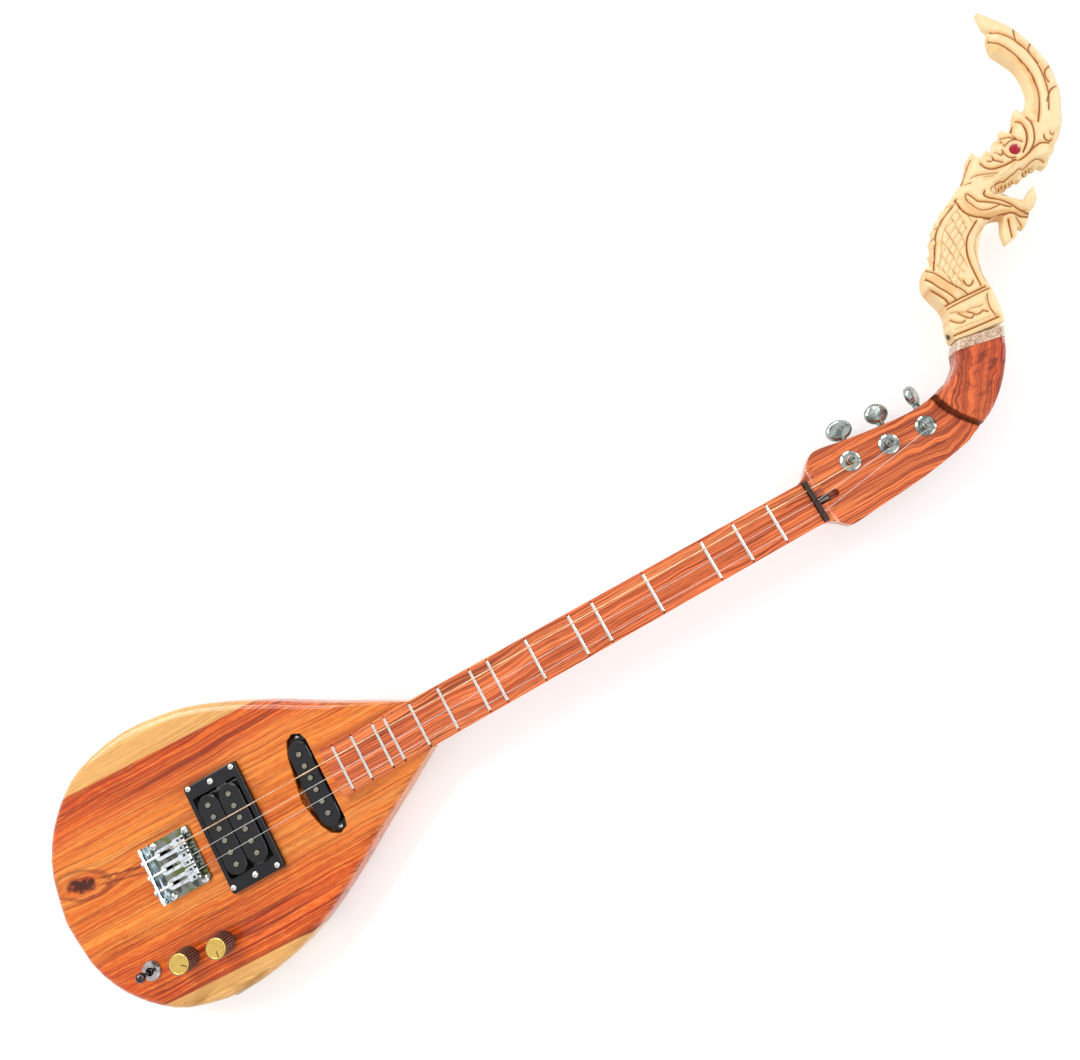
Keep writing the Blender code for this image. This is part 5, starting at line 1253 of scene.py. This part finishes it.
class PHIN_OT_pickups(bpy.types.Operator):
    """Finishes both pickups and drives their screws"""
    bl_idname = "phin.pickups"
    bl_label = "Pickups"

    def execute(self, context):
        for node in nodes_in("pickup_ring", "bobbin", "poles", "baseplate"):
            dress(node, 35)
        head = cross_head()
        drive(head, "ring_screw", RING_SCREWS, 47.5, sizes().ring_screw)
        drive(head, "pickup_height_screw", HEIGHT_SCREWS, 49.3, sizes().ring_screw)
        drive(head, "coil_screw", COIL_SCREWS, 35.0, 4.4 * MM)
        discard(head)
        return {"FINISHED"}


# The rows of the three saddles, the front of each, and half of a saddle's outline, in millimetres.
SADDLE_ROWS = (10.4, -2.0, -14.4)
SADDLE_FRONTS = (1.8, 1.5, 1.5)
SADDLE_SIDE = [(-9, 5.5), (0, 5.5), (0, 4.2), (-6.5, 4.2), (-6.5, 2.2), (0, 2.2)]


def saddle_pattern():
    """A notched block with its front at x = 0, a long loop behind it and a round rest for the string."""
    mirrored = [(x, -y) for x, y in SADDLE_SIDE]
    outline = [*mirrored[1:], *SADDLE_SIDE[::-1], (-10.5, 4.2), *arc(-23.8, 0, 4.2, 90, 270), (-10.5, -4.2),
               mirrored[0]]
    body = slab("saddle_pattern", outline, 44.7, 50.9, 0.45)
    slot = [*arc(-11.4, 0, 1.4, -90, 90, 8), *arc(-24.0, 0, 1.4, 90, 270, 8)]
    cut_out(body, slab("saddle_slot", slot, 43, 55))
    parts = [body]
    for middle, length in ((0, 4.2), (-4.85, 1.2), (4.85, 1.2)):
        bpy.ops.mesh.primitive_cylinder_add(vertices=32, radius=1.8 * MM, depth=length * MM,
                                            location=(-1.9 * MM, middle * MM, 50.55 * MM),
                                            rotation=(pi / 2, 0, 0))
        parts.append(bpy.context.object)
    shoulder = [(-9.2, -5.2), (-7.7, -5.2), (-7.7, 5.2), (-9.2, 5.2)]
    parts.append(slab("saddle_shoulder", shoulder, 50.5, 51.4, 0.4))
    deselect()
    for part in parts:
        part.select_set(True)
    bpy.context.view_layer.objects.active = body
    bpy.ops.object.join()
    settle(body)
    smooth(body, 35)
    return body


class PHIN_OT_bridge(bpy.types.Operator):
    """Finishes the bridge, its saddles and all its screws"""
    bl_idname = "phin.bridge"
    bl_label = "Bridge"

    def execute(self, context):
        pattern = saddle_pattern()
        bright = saddle_chrome()
        saddles = sorted(node for node in nodes_in("bridge") if body_under(node).startswith("saddle_block"))
        for index, (node, front, middle) in enumerate(zip(saddles, SADDLE_FRONTS, SADDLE_ROWS)):
            place = Matrix.Translation((front * MM, middle * MM, 0))
            piece = copied(pattern, f"saddle_{index + 1}_bright", place, "bridge", body_under(node), bright)
            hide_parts(node)
        discard(pattern)
        for node in nodes_in("bridge", "screws"):
            if node not in saddles:
                dress(node, 30)
        head = cross_head()
        drive(head, "bridge_screw", PLATE_SCREWS, 44.2, sizes().plate_screw)
        discard(head)
        grub = socket_head()
        for index, row in enumerate(SADDLE_ROWS):
            for number, side in ((1, -3.2), (2, 3.2)):
                place = standing((-2.2, row + side, 48.9), size=2.0 * MM)
                copied(grub, f"height_screw_{index * 2 + number}", place, "screws",
                       f"saddle_block_{index + 1}")
        discard(grub)
        return {"FINISHED"}


class PHIN_OT_tuners(bpy.types.Operator):
    """Finishes the three tuners"""
    bl_idname = "phin.tuners"
    bl_label = "Tuners"

    def execute(self, context):
        for node in nodes_in("tuners"):
            dress(node, 34)
        return {"FINISHED"}


# A knob's top against its foot, and the share kept of the jack's flange past a plane across y.
KNOB_TAPER = 0.885
JACK_PLANE = -114.0 * MM
JACK_SHARE = 0.3


class PHIN_OT_controls(bpy.types.Operator):
    """Makes the ribbed knobs with gold caps, and finishes the switch and jack"""
    bl_idname = "phin.controls"
    bl_label = "Knobs, switch and jack"

    def execute(self, context):
        self.knob(context, "volume", (-40.5, -70.2), -39)
        self.knob(context, "tone", (-9, -73.5), -96)
        for node in nodes_in("switch", "lever", "jack", "pots"):
            piece = dress(node, 34)
            if slot_of(node) == "jack":
                for vertex in piece.data.vertices:
                    past = min(0.0, vertex.co.y - JACK_PLANE)
                    vertex.co.y -= past * (1 - JACK_SHARE)
        return {"FINISHED"}

    def knob(self, context, name, middle, pointer):
        """One knob about its middle in millimetres, with its pointer turned to an angle in degrees"""
        body = name + "_control"
        node = [node for node in nodes_in("knobs") if body_under(node) == body][0]
        low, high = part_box(node)
        x, y = (part * MM for part in middle)
        top = high[2]
        sectors = sizes().knob_ribs * 4
        radius = (high[0] - low[0]) / 2
        bpy.ops.mesh.primitive_cylinder_add(vertices=sectors, radius=radius, depth=top - low[2],
                                            location=(x, y, (top + low[2]) / 2))
        skirt = context.object
        settle(skirt)
        edit(skirt, "FACE")
        choose(skirt, "polygons", lambda face: face.normal.z > 0.9)
        bpy.ops.transform.resize(value=(KNOB_TAPER, KNOB_TAPER, 1), center_override=(x, y, top))
        bpy.ops.mesh.inset(thickness=0.35 * MM)
        bpy.ops.transform.translate(value=(0, 0, -0.2 * MM))

        def in_groove(face):
            if abs(face.normal.z) > 0.5:
                return False
            share = atan2(face.center.y - y, face.center.x - x) / (2 * pi)
            return int(round(share * sectors - 0.5)) % 4 in (0, 1)

        choose(skirt, "polygons", in_groove)
        bpy.ops.mesh.inset(thickness=0.14 * MM, use_boundary=True)
        bpy.ops.transform.shrink_fatten(value=-1.0 * MM)
        close_edit()
        smooth(skirt, 25)
        finished(skirt, name + "_skirt", "knobs", body, ribbed_plastic(name + "_brown", (x, y)))
        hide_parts(node)

        rim = sizes().cap_radius / MM
        profile = [(0, 0), (rim, 0), (rim, 0.55), (rim - 0.35, 0.9), (rim - 0.9, 0.92), (rim - 1.1, 0.72),
                   (rim * 0.5, 0.66), (0, 0.64)]
        cap = turned(name + "_cap", profile, 72)
        cap.data.transform(Matrix.Translation((x, y, top - 0.15 * MM)))
        smooth(cap, 30)
        finished(cap, name + "_cap", "knobs", body, spun_gold(name + "_gold", (x, y)))

        turn = radians(pointer)
        away = rim * 0.56 * MM
        spot = (x + away * cos(turn), y + away * sin(turn), top + 0.52 * MM)
        bpy.ops.mesh.primitive_cube_add(size=1, location=spot, rotation=(0, 0, turn),
                                        scale=(rim * 0.68 * MM, 0.8 * MM, 0.2 * MM))
        line = context.object
        settle(line)
        edit(line, "EDGE")
        take_all()
        bpy.ops.mesh.bevel(offset=0.07 * MM, segments=2)
        close_edit()
        smooth(line, 40)
        finished(line, name + "_pointer", "knobs", body)


# The two ends of the cover on the back, and how far past them its screws sit.
COVER_ENDS = ((-72, -65.5), (-4, -73.5))
COVER_SCREW_OUT = 18.6


class PHIN_OT_cover(bpy.types.Operator):
    """Finishes the control cavity's cover on the back, with its screws"""
    bl_idname = "phin.cover"
    bl_label = "Back cover"

    def execute(self, context):
        for node in nodes_in("cover"):
            dress(node, 30)
        head = cross_head()
        first, last = [Vector((*end, 0.45)) for end in COVER_ENDS]
        out = (last - first).normalized() * COVER_SCREW_OUT
        for index, place in enumerate((first - out, last + out)):
            matrix = standing(place, (1, 0.4, 0), (0, 0, -1), 1.2 * MM)
            copied(head, f"cover_screw_{index + 1}", matrix, "screws")
        discard(head)
        return {"FINISHED"}


class PHIN_PT_panel(bpy.types.Panel):
    """Lists the steps that dress the phin"""
    bl_idname = "PHIN_PT_panel"
    bl_label = "Electric phin"
    bl_space_type = "VIEW_3D"
    bl_region_type = "UI"
    bl_category = "Phin"

    def draw(self, context):
        for group in (context.scene.phin_sizes, context.scene.phin_colours):
            for name in group.__annotations__:
                self.layout.prop(group, name)
        for step in STEPS:
            self.layout.operator(step.bl_idname)


STEPS = (PHIN_OT_stage, PHIN_OT_wood, PHIN_OT_carving, PHIN_OT_frets_strings, PHIN_OT_pickups, PHIN_OT_bridge,
         PHIN_OT_tuners, PHIN_OT_controls, PHIN_OT_cover)
CLASSES = (PhinColours, PhinSizes, *STEPS, PHIN_PT_panel)


def register():
    for made in CLASSES:
        bpy.utils.register_class(made)
    bpy.types.Scene.phin_colours = PointerProperty(type=PhinColours)
    bpy.types.Scene.phin_sizes = PointerProperty(type=PhinSizes)


def unregister():
    del bpy.types.Scene.phin_sizes
    del bpy.types.Scene.phin_colours
    for made in reversed(CLASSES):
        bpy.utils.unregister_class(made)


def main():
    register()
    bpy.ops.phin.stage()
    bpy.ops.phin.wood()
    bpy.ops.phin.carving()
    bpy.ops.phin.frets_strings()
    bpy.ops.phin.pickups()
    bpy.ops.phin.bridge()
    bpy.ops.phin.tuners()
    bpy.ops.phin.controls()
    bpy.ops.phin.cover()


if __name__ == "__main__":
    main()
